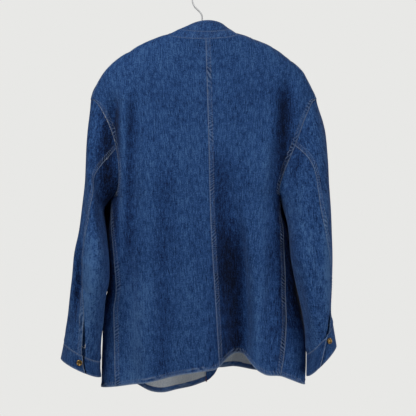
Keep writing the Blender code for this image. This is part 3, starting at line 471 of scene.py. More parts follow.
# Rows of stitches: edge of the piece and how far in each row lies, for each kind of piece
FELLED_ROWS = (0.0016, 0.0094)
HEM_ROW = (0.0088,)
EDGE_ROW = (0.0030,)
LEAF_ROW = (0.0040,)
FRONT_STITCHES = (("armhole", FELLED_ROWS), ("end", EDGE_ROW), ("hem", HEM_ROW))
STITCH_ROWS = {
    "back_left": (("end", FELLED_ROWS), ("hem", HEM_ROW)),
    "back_right": (("start", FELLED_ROWS), ("end", FELLED_ROWS), ("hem", HEM_ROW)),
    "front_left": FRONT_STITCHES,
    "front_right": FRONT_STITCHES,
    "upper": (("start", FELLED_ROWS),),
    "cuff": (("top", EDGE_ROW), ("hem", EDGE_ROW), ("start", EDGE_ROW), ("end", EDGE_ROW)),
    "collar_stand": (("top", (0.0020,)), ("hem", (0.0022,))),
    "collar_leaf": (("hem", LEAF_ROW), ("start", LEAF_ROW), ("end", LEAF_ROW)),
}
STITCH_SUNK = 0.0001
GROOVE_WIDTH = 0.0011

# Sewn bands and hems: how their edge eases off, where puckers set in, and (share, reach) of those beyond
BAND_EASE = (-0.0016, 0.0012)
BAND_FOOT = (-0.0004, 0.0022)
BAND_BEYOND = (0.35, 0.006)
HEM_EASE = (-0.002, 0.001)

# Wear and painted shade: ground and crests of wear, painted shade in the hollows and where it begins on a
# band, and (strength, reach) of wear along an edge
BAND_RUB = (0.06, 0.55, 0.95, 0.15)
BAND_EDGE = (0.75, 0.0014)
HEM_RUB = (0.10, 0.40, 0.50, 0.20)
HEM_EDGE = (0.95, 0.0026)
FRONT_EDGE = (0.7, 0.002)
CUFF_EDGE = (0.75, 0.002)
CUFF_CREST = 0.3
COLLAR_EDGE = (0.30, 0.0018)
COLLAR_CREST = 0.16

# Gathers above a cuff, and the puckers of a cuff (share of a seam's, reach) and of the collar's pieces
GATHER_SPACING = 0.0150
GATHER_WANDER = (0.061, 1.6)
GATHER_REACH = 0.032
GATHER_CALM = 0.004
GATHER_HEIGHT = 0.0011
CUFF_PUCKER = (0.6, 0.006)
CUFF_SLANT = 0.4
CUFF_CALM = 0.0016
COLLAR_WAVE_RATIO = 0.62
COLLAR_PIECE_COLUMNS = ("node", "top", "rows", "start", "pucker", "foot_worn")
COLLAR_PIECES = (
    ("collar_stand", STAND_TOP, STAND_ROWS, 0.4, 0.0008, True),
    ("collar_leaf", LEAF_TOP, LEAF_ROWS, 2.6, 0.0004, False),
)

# Weave: sizes of its patterns across and along the warp, and the twill's spacing and slope. The real
# yarns are about half a millimetre thick, too fine for the picture, so these are coarser.
WEAVE_SIZES = {
    "slub": (0.0026, 0.0026, 0.0190),
    "yarn": (0.0023, 0.0023, 0.0032),
    "wash": (0.0450, 0.0450, 0.1100),
    "blotch": (0.0090, 0.0090, 0.0130),
}
TWILL_SIZE = 0.0026
TWILL_ANGLE = 62.0

# Share of each pattern in the cloth's tones and reliefs, and what the painted shade and light, the wear and
# the nap do to the finish
RIGHT_SIDE_TONE = {"slub": 0.95, "yarn": 1.00, "wash": 0.35, "blotch": 0.50, "twill": 0.10}
RIGHT_SIDE_RELIEF = {"yarn": 0.8, "slub": 0.7, "twill": 0.35}
WRONG_SIDE_TONE = {"yarn": 0.8, "twill": 0.4, "slub": 0.4}
WRONG_SIDE_RELIEF = {"yarn": 0.8, "twill": 0.5}
WORN_EDGE_TONE = {"yarn": 0.9, "blotch": 0.8}
PAINTED_SHADE_AND_LIGHT_REACH = 0.42
WEAR_BREAKS = (1.1, 0.15)
COTTON_FINISH = {
    "Roughness": 0.88,
    "IOR": 1.5,
    "Specular IOR Level": 0.12,
    "Sheen Weight": 0.05,
    "Sheen Roughness": 0.45,
}

# Profile of the brass buttons: shares of radius and height, from under the middle round the rim to the top
BUTTON_PROFILE = (
    (0.00, 0.00),
    (0.78, 0.00),
    (0.93, 0.10),
    (1.00, 0.32),
    (1.00, 0.62),
    (0.95, 0.84),
    (0.86, 0.98),
    (0.76, 1.00),
    (0.67, 0.92),
    (0.62, 0.74),
    (0.50, 0.64),
    (0.34, 0.68),
    (0.18, 0.76),
    (0.00, 0.80),
)
BUTTON_TURNS = 40
BUTTON_MERGE = 0.004

# Buttonholes: size, place beside the button, stitches round each and how far these lean along it, and the
# width and height of their thread against the seams'
HOLE_LENGTH = 0.0215
HOLE_WIDTH = 0.0036
HOLE_OFFSET = 0.0045
HOLE_STITCHES = 34
HOLE_LEAN = 0.4
HOLE_THREAD = (0.8, 1.6)

# Bar tack at the hem of the left front's facing
TACK_INSET = 0.004
TACK_LENGTH = 0.011
TACK_WIDTH = 0.0042
TACK_RISE = 0.0004
TACK_STITCHES = 16
TACK_FULLNESS = 1.2

# Camera and stage
CAMERA_PLACE = (0.0132, -2.2, -0.4862)
CAMERA_LENS = 86.6
CAMERA_SENSOR = 36.0
FLOOR_DROP = 1.30
FLOOR_RADIUS = 1.5
FLOOR_SIDES = 96
KEY_PLACE = (-0.95, -1.35, 1.15)
KEY_TARGET = (0.0, 0.0, -0.30)
KEY_SIZE = (1.1, 1.5)
SIDE_PLACE = (1.45, -1.15, -0.70)
SIDE_SIZE = (1.2, 1.2)
RIM_PLACE = (1.4, 1.9, 0.9)
RIM_SIZE = (1.4, 1.6)


def blend(part, first, second, first_slope, second_slope):
    """Go smoothly from a first value to a second, with the slopes given at both."""
    near = 1.0 - part
    ends = first * near * near * (1.0 + 2.0 * part) + second * part * part * (3.0 - 2.0 * part)
    return ends + part * near * (first_slope * near - second_slope * part)


def smooth_curve(knots, values):
    """Return a smooth curve through the values at the knots."""
    knots = np.asarray(knots, float)
    values = np.asarray(values, float)
    slopes = np.gradient(values, knots)

    def read(place):
        place = np.clip(place, knots[0], knots[-1])
        left = np.clip(np.searchsorted(knots, place, side="right") - 1, 0, len(knots) - 2)
        span = knots[left + 1] - knots[left]
        part = (place - knots[left]) / span
        return blend(part, values[left], values[left + 1], span * slopes[left], span * slopes[left + 1])

    return read


def column_curve(rows, columns, key, value):
    """Return a smooth curve of one named column of a table against another."""
    at = columns.index(key)
    to = columns.index(value)
    return smooth_curve([row[at] for row in rows], [row[to] for row in rows])


def ease(low, high, place):
    """Rise smoothly from 0 at low to 1 at high."""
    part = np.clip((place - low) / (high - low), 0.0, 1.0)
    return part * part * (3.0 - 2.0 * part)


def bell(distance, width):
    """A soft bump that is 1 at no distance and fades within about its width."""
    return np.exp(-((distance / width) ** 2))


def wave(place, length, start):
    """A wave from -1 to 1 of one length, moved along by its start."""
    return np.sin(2.0 * math.pi * place / length + start)


LEFT_HALF, RIGHT_HALF, BACK_DEPTH, FRONT_DEPTH, SQUARENESS, FRONT_SIDE = (
    column_curve(BODY_SECTIONS, BODY_COLUMNS, "drop", column) for column in BODY_COLUMNS[1:]
)
NECK_FRONT_DROP = column_curve(NECK_FRONT, NECK_FRONT_COLUMNS, "angle", "drop")
HEM_BACK_DROP = column_curve(HEM_BACK, HEM_COLUMNS, "across", "drop")
HEM_FRONT_DROP = {
    side: column_curve(rows, HEM_COLUMNS, "across", "drop") for side, rows in HEM_FRONT.items()
}
BACK_SEAM_ACROSS = column_curve(BACK_SEAM, BACK_SEAM_COLUMNS, "drop", "across")
SIDE_ANGLE = {side: column_curve(SIDE_SEAM, SIDE_COLUMNS, "share", side) for side in SIDES}
SEAM_ANGLE = {
    side: column_curve(rows, BACK_SEAM_ANGLE_COLUMNS, "section", "angle")
    for side, rows in SLEEVE_BACK_SEAM.items()
}


def body_drop(angle, share, side):
    """Depth below the origin at an angle round the body and a share of the way to the hem."""
    turned = np.abs(angle)
    turned = np.where(turned > math.pi, 2.0 * math.pi - turned, turned)
    on_back = np.cos(angle) >= 0.0
    back_neck = NECK_DROP + NECK_BACK_DIP * np.cos(angle) ** 2
    neck = np.where(on_back, back_neck, NECK_FRONT_DROP(np.degrees(turned)))
    across = HEM_HALF * np.sin(angle)
    hem = np.where(on_back, HEM_BACK_DROP(across), HEM_FRONT_DROP[side](across))
    return neck + (hem - neck) * share


def body_folds(face, across, drop, folds=BODY_FOLDS):
    """How far the named face stands out at a place, or how much painted shade and light it gets, from a table
    of folds.
    """
    height = np.zeros_like(across)
    for row in folds:
        fold = dict(zip(FOLD_COLUMNS, row))
        if fold["face"] != face:
            continue
        along = np.clip((drop - fold["start"]) / (fold["end"] - fold["start"]), 0.0, 1.0)
        middle = fold["across_top"] + (fold["across_low"] - fold["across_top"]) * along
        away = across - middle - fold["bow"] * np.sin(math.pi * along)
        width = np.where(away < 0.0, fold["left_width"], fold["right_width"])
        strength = ease(fold["start"], fold["full"], drop) * (1.0 - ease(fold["full_to"], fold["end"], drop))
        height = height + fold["height"] * strength * bell(away, width)
    return height


def body_point(angle, share, side):
    """Points of the body form. Angles run from the middle of the back to +X, the front, or -X."""
    angle, share = np.broadcast_arrays(np.asarray(angle, float), np.asarray(share, float))
    drop = body_drop(angle, share, side)
    turn = np.sin(angle)
    facing = np.cos(angle)
    half = np.where(turn < 0.0, LEFT_HALF(drop), RIGHT_HALF(drop))
    half = half + FRONT_SIDE(drop) * ease(*FRONT_SIDE_FACING, -facing)
    depth = np.where(facing >= 0.0, BACK_DEPTH(drop), FRONT_DEPTH(drop))
    power = SQUARENESS(drop)
    across = half * turn
    out = depth * np.clip(1.0 - np.abs(turn) ** power, 0.0, 1.0) ** (1.0 / power)
    back_out = out + body_folds("back", across, drop) * ease(*FOLD_FACING, facing)
    front_out = out + body_folds("front", across, drop) * ease(*FOLD_FACING, -facing)
    if side == "right":
        lapped = ease(0.0, LAP_WIDTH, LAP_FROM + LAP_WIDTH - across) * ease(*LAP_FACING, -facing)
        front_out = front_out - LAP_STEP * lapped
    y = np.where(facing >= 0.0, -back_out, front_out)
    return np.stack([CENTRE_X + across, y, -drop], axis=-1)


def unit(vectors):
    """Scale vectors to length 1."""
    return vectors / np.linalg.norm(vectors, axis=-1, keepdims=True)


def body_normal(angle, share, side):
    """Outward directions of the body form."""
    step = SLOPE_STEP
    round_way = body_point(angle + step, share, side) - body_point(angle - step, share, side)
    down_way = body_point(angle, share + step, side) - body_point(angle, share - step, side)
    return unit(np.cross(down_way, round_way))


def armhole_share(turn):
    """Share of the way to the hem at a turn round the armhole, 0 at its top and pi at the underarm."""
    return ARMHOLE_TOP + (ARMHOLE_LOW - ARMHOLE_TOP) * (1.0 - np.cos(turn)) / 2.0


def armhole_turn(share):
    """Turn round the back of the body's armhole edge at a share."""
    part = (share - ARMHOLE_TOP + ARMHOLE_EASE) / (ARMHOLE_LOW - ARMHOLE_TOP + 2.0 * ARMHOLE_EASE)
    return math.acos(1.0 - 2.0 * min(max(part, 0.0), 1.0))


def armhole_angle(turn, bow):
    """Angle round the body of the armhole's edge."""
    return np.arcsin(1.0 - bow * np.sin(turn))


def side_sign(side):
    """+1 on the wearer's right, -1 on the left."""
    return 1.0 if side == "right" else -1.0


def outer_edge_angle(share, face, side):
    """Angle of the shoulder seam, armhole edge or side seam at a share, on the named face."""
    low = ARMHOLE_LOW + ARMHOLE_EASE
    if share <= ARMHOLE_TOP - ARMHOLE_EASE + NEARLY_ZERO:
        return math.pi / 2.0
    if share < low - NEARLY_ZERO:
        turn = armhole_turn(share)
        if face == "back":
            return float(armhole_angle(turn, ARMHOLE_BACK_BOW[side]))
        return math.pi - float(armhole_angle(turn, ARMHOLE_FRONT_BOW[side]))
    return math.radians(float(SIDE_ANGLE[side]((share - low) / (1.0 - low))))


def edge_gap(share):
    """Half of the gap left at the outer edge at a share."""
    if ARMHOLE_TOP < share < ARMHOLE_LOW:
        return ARMHOLE_GAP
    return (SIDE_SEAM_GAP if share > ARMHOLE_LOW else SEAM_GAP) / 2.0


def armhole_place(side, turn):
    """Angle round the body and share of the way to the hem at a full turn round an armhole."""
    turn = np.mod(turn, 2.0 * math.pi)
    on_back = turn <= math.pi
    half_turn = np.where(on_back, turn, 2.0 * math.pi - turn)
    back = armhole_angle(half_turn, ARMHOLE_BACK_BOW[side])
    front = math.pi - armhole_angle(half_turn, ARMHOLE_FRONT_BOW[side])
    return side_sign(side) * np.where(on_back, back, front), armhole_share(half_turn)


def sleeve_stations(side, turn):
    """Points at one turn round every section of a sleeve, the armhole first."""
    angle, share = armhole_place(side, turn)
    stations = [body_point(angle, share, side)]
    for row in SLEEVE_SECTIONS[side]:
        section = dict(zip(SLEEVE_COLUMNS, row))
        outer = np.array([section["outer_x"], section["middle_y"], -section["outer_drop"]])
        inner = np.array([section["inner_x"], section["middle_y"], -section["inner_drop"]])
        deep = np.array([0.0, -section["half_depth"], 0.0])
        wave = np.cos(turn)[..., None] * (outer - inner) / 2.0 + np.sin(turn)[..., None] * deep
        stations.append((outer + inner) / 2.0 + wave)
    return np.stack(stations)


def sleeve_folds(side, turn, section):
    """How far a sleeve stands out at a place, from the table of folds."""
    height = np.zeros_like(turn)
    for row in SLEEVE_FOLDS:
        fold = dict(zip(SLEEVE_FOLD_COLUMNS, row))
        if fold["side"] != side:
            continue
        away = np.mod(np.degrees(turn) - fold["angle"] + 180.0, 360.0) - 180.0
        shape = bell(away, fold["half_angle"]) * bell(section - fold["section"], fold["half_length"])
        height = height + fold["height"] * shape
    flat_end = 1.0 - ease(SLEEVE_END - 1.0, SLEEVE_END, section)
    return height * ease(0.0, SLEEVE_FOLDS_FROM, section) * flat_end


def sleeve_point(side, turn, section):
    """Points of a sleeve form: turn 0 at its outer edge, pi / 2 behind, section 0 at the armhole."""
    turn, section = np.broadcast_arrays(np.asarray(turn, float), np.asarray(section, float))
    stations = sleeve_stations(side, turn)
    slopes = np.gradient(stations, axis=0)
    low = np.clip(np.floor(section).astype(int), 0, len(stations) - 2)
    first = (low, *np.indices(low.shape))
    second = (low + 1, *first[1:])
    part = (section - low)[..., None]
    points = blend(part, stations[first], stations[second], slopes[first], slopes[second])
    outward = unit(points - sleeve_middle(side, section))
    return points + outward * sleeve_folds(side, turn, section)[..., None]


def sleeve_middle(side, section):
    """Middle of a sleeve at a section."""
    sections = [dict(zip(SLEEVE_COLUMNS, row)) for row in SLEEVE_SECTIONS[side]]
    knots = np.arange(1, len(sections) + 1)
    x = smooth_curve(knots, [(row["outer_x"] + row["inner_x"]) / 2.0 for row in sections])
    drop = smooth_curve(knots, [(row["outer_drop"] + row["inner_drop"]) / 2.0 for row in sections])
    y = smooth_curve(knots, [row["middle_y"] for row in sections])
    return np.stack([x(section), y(section), -drop(section)], axis=-1)


def sleeve_normal(side, turn, section):
    """Outward directions of a sleeve form."""
    ahead = np.minimum(section + SECTION_STEP, CUFF_END)
    behind = np.maximum(section - SECTION_STEP, 0.0)
    along = sleeve_point(side, turn, ahead) - sleeve_point(side, turn, behind)
    around = sleeve_point(side, turn + TURN_STEP, section) - sleeve_point(side, turn - TURN_STEP, section)
    return unit(np.cross(around, along)) * side_sign(side)


def vent_half_gap(side, section):
    """Half of the gap at a sleeve's back seam, wider where the vent opens."""
    opening = ease(VENT_FROM[side], VENT_FROM[side] + VENT_EASE, section)
    return SLEEVE_SEAM_GAP / 2.0 + VENT_HALF_GAP * opening


def front_seam(side, section):
    """Turn of a sleeve's front seam at a section."""
    return -math.radians(FRONT_SEAM_ANGLE)


def back_seam(side, section):
    """Turn of a sleeve's back seam at a section."""
    return math.radians(float(SEAM_ANGLE[side](section)))


def gap_turn(side, section, seam, gap):
    """Turn round a sleeve that covers a gap, measured square to a seam."""
    turn = seam(side, section)
    pair = sleeve_point(side, np.array([turn - TURN_STEP, turn + TURN_STEP]), section)
    around = (pair[1] - pair[0]) / (2.0 * TURN_STEP)
    ahead = min(section + SECTION_STEP, CUFF_END)
    behind = max(section - SECTION_STEP, 0.0)
    onward = sleeve_point(side, seam(side, ahead), ahead)
    along = unit(onward - sleeve_point(side, seam(side, behind), behind))
    return gap / float(np.linalg.norm(np.cross(around, along)))


def armhole_normal(side, turn, own):
    """Outward direction at the armhole seam, shared where body and sleeve run on into each other."""
    angle, share = armhole_place(side, turn)
    body = body_normal(angle, share, side)
    sleeve = sleeve_normal(side, turn, np.zeros_like(turn))
    match = ease(*ARMHOLE_MATCH, (body * sleeve).sum(axis=-1))[..., None]
    if own == "body":
        return unit(body + sleeve * match)
    return unit(sleeve + body * match)


def collar_edge(row, angles):
    """Points of a collar's top edge at angles round the neck."""
    size = dict(zip(COLLAR_COLUMNS, row))
    facing = np.cos(angles)
    depth = np.where(facing >= 0.0, size["back_depth"], size["front_depth"])
    far_drop = np.where(facing >= 0.0, size["back_drop"], size["front_drop"])
    drop = size["side_drop"] + (far_drop - size["side_drop"]) * facing ** 2
    middle = CENTRE_X + size["middle_x"] * (1.0 + facing) / 2.0
    return np.stack([middle + size["half_width"] * np.sin(angles), -depth * facing, -drop], axis=-1)


def run_lengths(points):
    """Lengths along a row of points, from its first, as shares of the whole."""
    lengths = np.concatenate([[0.0], np.cumsum(np.linalg.norm(np.diff(points, axis=0), axis=1))])
    return lengths / lengths[-1]


def even_edge(row, angles):
    """Points of a collar edge, each as far round its quarter as its angle is round the neckline's."""
    placed = np.zeros_like(angles)
    quarter = math.pi / 2.0
    for start in (-2.0 * quarter, -quarter, 0.0, quarter):
        inside = (angles >= start) & (angles < start + quarter)
        dense = np.linspace(start, start + quarter, ARC_SAMPLES)
        share = np.interp(angles[inside], dense, run_lengths(body_point(dense, 0.0, "left")))
        placed[inside] = np.interp(share, run_lengths(collar_edge(row, dense)), dense)
    return collar_edge(row, placed)


def neckline(angles, read):
    """Points or directions of the panels' top edges round the neck, each half on its own front."""
    on_right = (angles > 0.0)[:, None]
    return np.where(on_right, read(angles, 0.0, "right"), read(angles, 0.0, "left"))


def raised_foot(points, normals):
    """Rows with the first moved up by the seam gap, square to its own run."""
    moved = points.copy()
    upward = unit(np.cross(normals[0], np.gradient(points[0], axis=0)))
    moved[0] = points[0] + upward * COLLAR_GAP
    return moved


def linear(hex_colour):
    """Turn an sRGB hex colour to linear RGB."""
    parts = [int(hex_colour[place:place + 2], 16) / 255.0 for place in (1, 3, 5)]
    return tuple(part / 12.92 if part <= 0.04045 else ((part + 0.055) / 1.055) ** 2.4 for part in parts)


def size_property(name, description, metres):
    """A length that a user may change, in metres."""
    settings = {"default": metres, "min": 0.0, "precision": 4, "unit": "LENGTH"}
    return FloatProperty(name=name, description=description, **settings)


def power_property(name, description, watts):
    """A light's power that a user may change, in watts."""
    return FloatProperty(name=name, description=description, default=watts, unit="POWER")


def colour_property(name, description, hex_colour):
    """A colour that a user may change."""
    return FloatVectorProperty(
        name=name,
        description=description,
        default=linear(hex_colour),
        min=0.0,
        max=1.0,
        size=3,
        subtype="COLOR",
    )


class JacketCloth(bpy.types.PropertyGroup):
    """Sizes and colours of the denim and its sewing."""

    thickness: size_property("Denim", "Thickness of one layer of denim", CLOTH)
    cuff_thickness: size_property("Cuff", "Thickness of a cuff", CUFF_CLOTH)
    facing_thickness: size_property("Facing", "Thickness of a front facing", FACING_CLOTH)
    band_width: size_property("Felled seam", "Width of a felled seam's band", 0.0112)
    band_height: size_property("Seam rise", "How far a felled seam stands up", 0.0007)
    pucker_height: size_property("Puckers", "Height of the puckers along a seam", 0.0006)
    groove_depth: size_property("Stitch groove", "How far a row of stitches pulls the cloth in", 0.0004)
    hem_width: size_property("Hem", "Width of the turned-up hem", 0.0115)
    hem_fold: size_property("Hem fold", "Extra thickness of the turned-up hem inside", 0.0010)
    stitch_pitch: size_property("Stitch pitch", "Distance from stitch to stitch", 0.0034)
    stitch_length: size_property("Stitch length", "Length of a stitch that shows", 0.0026)
    stitch_width: size_property("Thread", "Thickness of the sewing thread", 0.0006)
    indigo_deep: colour_property("Indigo, deep", "Unfaded warp yarn", "#142c58")
    indigo: colour_property("Indigo", "Washed warp yarn", "#2c518a")
    indigo_pale: colour_property("Indigo, pale", "Slubs and faded yarn", "#5078ad")
    # Painted shade: near-black blue that folds, seam hollows and the lapped cuff ends are painted towards,
    # where shade falls
    painted_hollow_shade: colour_property("Indigo, hollows", "Unfaded dye between the puckers of a seam", "#040d22")
    worn: colour_property("Worn", "Cloth worn down to the weft", "#98abc6")
    weft: colour_property("Weft", "Undyed yarn of the wrong side", "#e6e9ea")
    weft_shade: colour_property("Weft, blue", "Indigo that shows between the weft", "#b0bccb")
    thread: colour_property("Thread", "Sewing thread, faded with the cloth", "#a3b4cb")
    tack: colour_property("Bar tack", "Thread of the bar tack at the front hem", "#c97f35")


class JacketHardware(bpy.types.PropertyGroup):
    """Sizes and colours of the buttons and the hanger."""

    button_radius: size_property("Front button", "Radius of a front button", BUTTON_RADIUS)
    cuff_button_radius: size_property("Cuff button", "Radius of a cuff button", CUFF_BUTTON_RADIUS)
    button_height: size_property("Button height", "Height of a button", BUTTON_HEIGHT)
    arm_radius: size_property("Hanger arm", "Radius of the hanger's bar", ARM_RADIUS)
    hook_wire: size_property("Hook wire", "Radius of the hook's wire", HOOK_WIRE)
    brass: colour_property("Brass", "Bright brass on the worn parts of the buttons", "#c2a067")
    brass_dull: colour_property("Brass, dull", "Tarnish in the hollows of the buttons", "#6b532e")
    # Near-white and almost matt: the wire's pale colour also stands in for the bright reflections of plated
    # metal, as painted reflection.
    steel: colour_property("Steel", "Wire of the hook", "#f4f5f6")
    plastic: colour_property("Hanger plastic", "Moulded hanger", "#e9e7e1")


class JacketStage(bpy.types.PropertyGroup):
    """Light and surroundings."""

    floor: colour_property("Floor", "Plain pale floor", "#e6e6e6")
    backdrop: colour_property("Backdrop", "Plain pale surroundings", "#e8e8e6")
    key_power: power_property("Key light", "Soft light from the left", 35.0)
    side_power: power_property("Side light", "Weak light from the right", 10.0)
    rim_power: power_property("Back light", "Soft light on the side that the camera does not see", 24.0)
    fill: FloatProperty(name="Fill", description="Light from all round", default=0.035, min=0.0)


def add_node(tree, kind, sockets=None, **settings):
    """Add a node with its settings, and set or link its input sockets."""
    made = tree.nodes.new(kind)
    for key, value in settings.items():
        setattr(made, key, value)
    for key, value in (sockets or {}).items():
        if isinstance(value, bpy.types.NodeSocket):
            tree.links.new(value, made.inputs[key])
        else:
            made.inputs[key].default_value = value
    return made


def add_math(tree, operation, *values, clamp=False):
    """Work out one value from others."""
    sockets = dict(enumerate(values))
    return add_node(tree, "ShaderNodeMath", sockets, operation=operation, use_clamp=clamp).outputs[0]


def add_mix(tree, factor, first, second):
    """Go from a linked colour to a plain one by a factor."""
    sockets = {"Factor": factor, 6: first, 7: opaque(second)}
    return add_node(tree, "ShaderNodeMix", sockets, data_type="RGBA").outputs[2]


def add_attribute(tree, name, output="Fac"):
    """Read what the cloth's points carry under a name."""
    return add_node(tree, "ShaderNodeAttribute", attribute_name=name).outputs[output]


def new_material(name):
    """A material with its node tree and shader, or None for the tree if it is there already."""
    material = bpy.data.materials.get(name)
    if material:
        return material, None, None
    material = bpy.data.materials.new(name)
    material.use_nodes = True
    tree = material.node_tree
    return material, tree, tree.nodes["Principled BSDF"]


def opaque(colour):
    """A colour with full alpha."""
    return (*colour, 1.0)


def darker(colour, share):
    """A colour with only a share of its light."""
    return tuple(share * part for part in colour)


def cloth_patterns(tree):
    """Patterns of the weave along the cut's own grain: slubs, yarns, uneven wash and twill lines."""
    grain = add_attribute(tree, "grain", "Vector")
    found = {}
    for name, size in WEAVE_SIZES.items():
        scale = tuple(1.0 / length for length in size)
        placed = add_node(tree, "ShaderNodeMapping", {"Vector": grain, "Scale": scale})
        sockets = {"Vector": placed.outputs["Vector"], "Scale": 1.0, "Detail": 3.0, "Roughness": 0.6}
        found[name] = add_node(tree, "ShaderNodeTexNoise", sockets).outputs["Fac"]
    rotation = (0.0, math.radians(TWILL_ANGLE), 0.0)
    turned = add_node(tree, "ShaderNodeMapping", {"Vector": grain, "Rotation": rotation})
    sockets = {"Vector": turned.outputs["Vector"], "Scale": 1.0 / TWILL_SIZE}
    sockets.update({"Distortion": 1.5, "Detail": 1.0})
    found["twill"] = add_node(tree, "ShaderNodeTexWave", sockets, wave_type="BANDS").outputs["Fac"]
    return found


def mixed_sum(tree, found, shares):
    """Add up patterns, each less its middle value and times its share, round one half."""
    total = 0.5
    for name, share in shares.items():
        scaled = add_math(tree, "MULTIPLY_ADD", found[name], share, -0.5 * share)
        total = add_math(tree, "ADD", scaled, total)
    return total


def colour_ramp(tree, socket, stops):
    """Colours along a value."""
    made = add_node(tree, "ShaderNodeValToRGB", {"Fac": socket})
    ramp = made.color_ramp
    while len(ramp.elements) < len(stops):
        ramp.elements.new(1.0)
    for element, (place, colour) in zip(ramp.elements, stops):
        element.position = place
        element.color = opaque(colour)
    return made.outputs["Color"]


def finish_cloth(tree, shader, colour, height, depth):
    """Link a cloth's colour and relief to its shader, with the soft nap of washed cotton."""
    relief = add_node(tree, "ShaderNodeBump", {"Height": height, "Strength": 0.7, "Distance": depth})
    tree.links.new(colour, shader.inputs["Base Color"])
    tree.links.new(relief.outputs["Normal"], shader.inputs["Normal"])
    for name, value in COTTON_FINISH.items():
        shader.inputs[name].default_value = value


def denim_right_side(cloth):
    """Washed indigo twill: dark warp on top, pale slubs down the cloth, worn pale on seams and hems, with
    painted shade in folds and hollows and painted light on ridges.
    """
    material, tree, shader = new_material("washed_indigo_denim")
    if not tree:
        return material
    found = cloth_patterns(tree)
    tone = mixed_sum(tree, found, RIGHT_SIDE_TONE)
    # Painted shade and light from the body's and sleeves' tables move the tone; the deepest painted shade
    # reaches the near-black hollow colour at the ramp's start.
    tone = add_math(tree, "MULTIPLY_ADD", add_attribute(tree, "dye"), PAINTED_SHADE_AND_LIGHT_REACH, tone)
    stops = (
        (0.00, cloth.painted_hollow_shade),
        (0.24, cloth.indigo_deep),
        (0.50, cloth.indigo),
        (0.80, cloth.indigo_pale),
    )
    colour = colour_ramp(tree, tone, stops)
    wear = add_attribute(tree, "wear")
    # Negative wear is painted shade: the hollows between puckers and the lapped cuff ends are mixed towards
    # the near-black hollow colour.
    painted_hollow_shade = add_math(tree, "MULTIPLY", wear, -1.0, clamp=True)
    colour = add_mix(tree, painted_hollow_shade, colour, cloth.painted_hollow_shade)
    broken = add_math(tree, "MULTIPLY_ADD", found["yarn"], *WEAR_BREAKS)
    worn = add_math(tree, "MULTIPLY", wear, broken, clamp=True)
    colour = add_mix(tree, worn, colour, cloth.worn)
    finish_cloth(tree, shader, colour, mixed_sum(tree, found, RIGHT_SIDE_RELIEF), depth=0.0008)
    return material


def denim_wrong_side(cloth):
    """Wrong side of the twill: mostly undyed weft, greyed blue where the warp shows between."""
    material, tree, shader = new_material("denim_wrong_side")
    if not tree:
        return material
    found = cloth_patterns(tree)
    tone = mixed_sum(tree, found, WRONG_SIDE_TONE)
    colour = colour_ramp(tree, tone, ((0.25, cloth.weft_shade), (0.75, cloth.weft)))
    finish_cloth(tree, shader, colour, mixed_sum(tree, found, WRONG_SIDE_RELIEF), depth=0.0007)
    return material


def denim_worn_edge(cloth):
    """Folded edge of a hem or seam: indigo rubbed through to pale yarn in uneven flecks."""
    material, tree, shader = new_material("denim_worn_edge")
    if not tree:
        return material
    tone = mixed_sum(tree, cloth_patterns(tree), WORN_EDGE_TONE)
    colour = colour_ramp(tree, tone, ((0.2, cloth.indigo), (0.55, cloth.indigo_pale), (0.85, cloth.worn)))
    finish_cloth(tree, shader, colour, tone, depth=0.0005)
    return material


def thread_material(name, colour, shade):
    """Spun cotton thread: matt, twisted, a little uneven in dye from stitch to stitch."""
    material, tree, shader = new_material(name)
    if not tree:
        return material
    place = add_node(tree, "ShaderNodeTexCoord").outputs["Object"]
    sockets = {"Vector": place, "Scale": 1.0 / 0.006, "Detail": 2.0}
    dye = add_node(tree, "ShaderNodeTexNoise", sockets).outputs["Fac"]
    twist = add_node(tree, "ShaderNodeTexWave", {"Vector": place, "Scale": 1.0 / 0.004, "Distortion": 2.0})
    tone = colour_ramp(tree, dye, ((0.3, shade), (0.7, colour)))
    finish_cloth(tree, shader, tone, twist.outputs["Fac"], depth=0.0002)
    return material


def cotton_thread(cloth):
    """Blue-grey sewing thread, faded with the jacket."""
    return thread_material("cotton_thread_faded", cloth.thread, cloth.indigo)


def tack_thread(cloth):
    """Orange thread of the bar tack."""
    return thread_material("cotton_thread_orange", cloth.tack, linear("#a8622a"))


def patterned_solid(name, bright, dull, roughness, metallic, grain, depth):
    """A hard finish whose colour and gloss change slightly over the piece."""
    material, tree, shader = new_material(name)
    if not tree:
        return material
    place = add_node(tree, "ShaderNodeTexCoord").outputs["Object"]
    sockets = {"Vector": place, "Scale": 1.0 / grain, "Detail": 4.0, "Roughness": 0.6}
    mottle = add_node(tree, "ShaderNodeTexNoise", sockets).outputs["Fac"]
    colour = colour_ramp(tree, mottle, ((0.3, dull), (0.7, bright)))
    low, high = roughness
    gloss = add_node(tree, "ShaderNodeMapRange", {"Value": mottle, "To Min": high, "To Max": low})
    relief = add_node(tree, "ShaderNodeBump", {"Height": mottle, "Strength": 0.4, "Distance": depth})
    tree.links.new(colour, shader.inputs["Base Color"])
    tree.links.new(gloss.outputs["Result"], shader.inputs["Roughness"])
    tree.links.new(relief.outputs["Normal"], shader.inputs["Normal"])
    shader.inputs["Metallic"].default_value = metallic
    return material


def aged_brass(hardware):
    """Pressed brass, bright where it is rubbed and brown where it has tarnished."""
    shades = (hardware.brass, hardware.brass_dull)
    gloss = {"roughness": (0.28, 0.46), "metallic": 1.0}
    return patterned_solid("aged_brass", *shades, grain=0.004, depth=0.00008, **gloss)


def steel_with_painted_reflection(hardware):
    """Plated steel wire with a soft drawn shine, near-white and almost matt so that its colour is also
    painted reflection.
    """
    shades = (hardware.steel, darker(hardware.steel, 0.75))
    gloss = {"roughness": (0.30, 0.42), "metallic": 0.1}
    return patterned_solid("plated_steel_wire_painted_reflection", *shades, grain=0.006, depth=0.00003, **gloss)


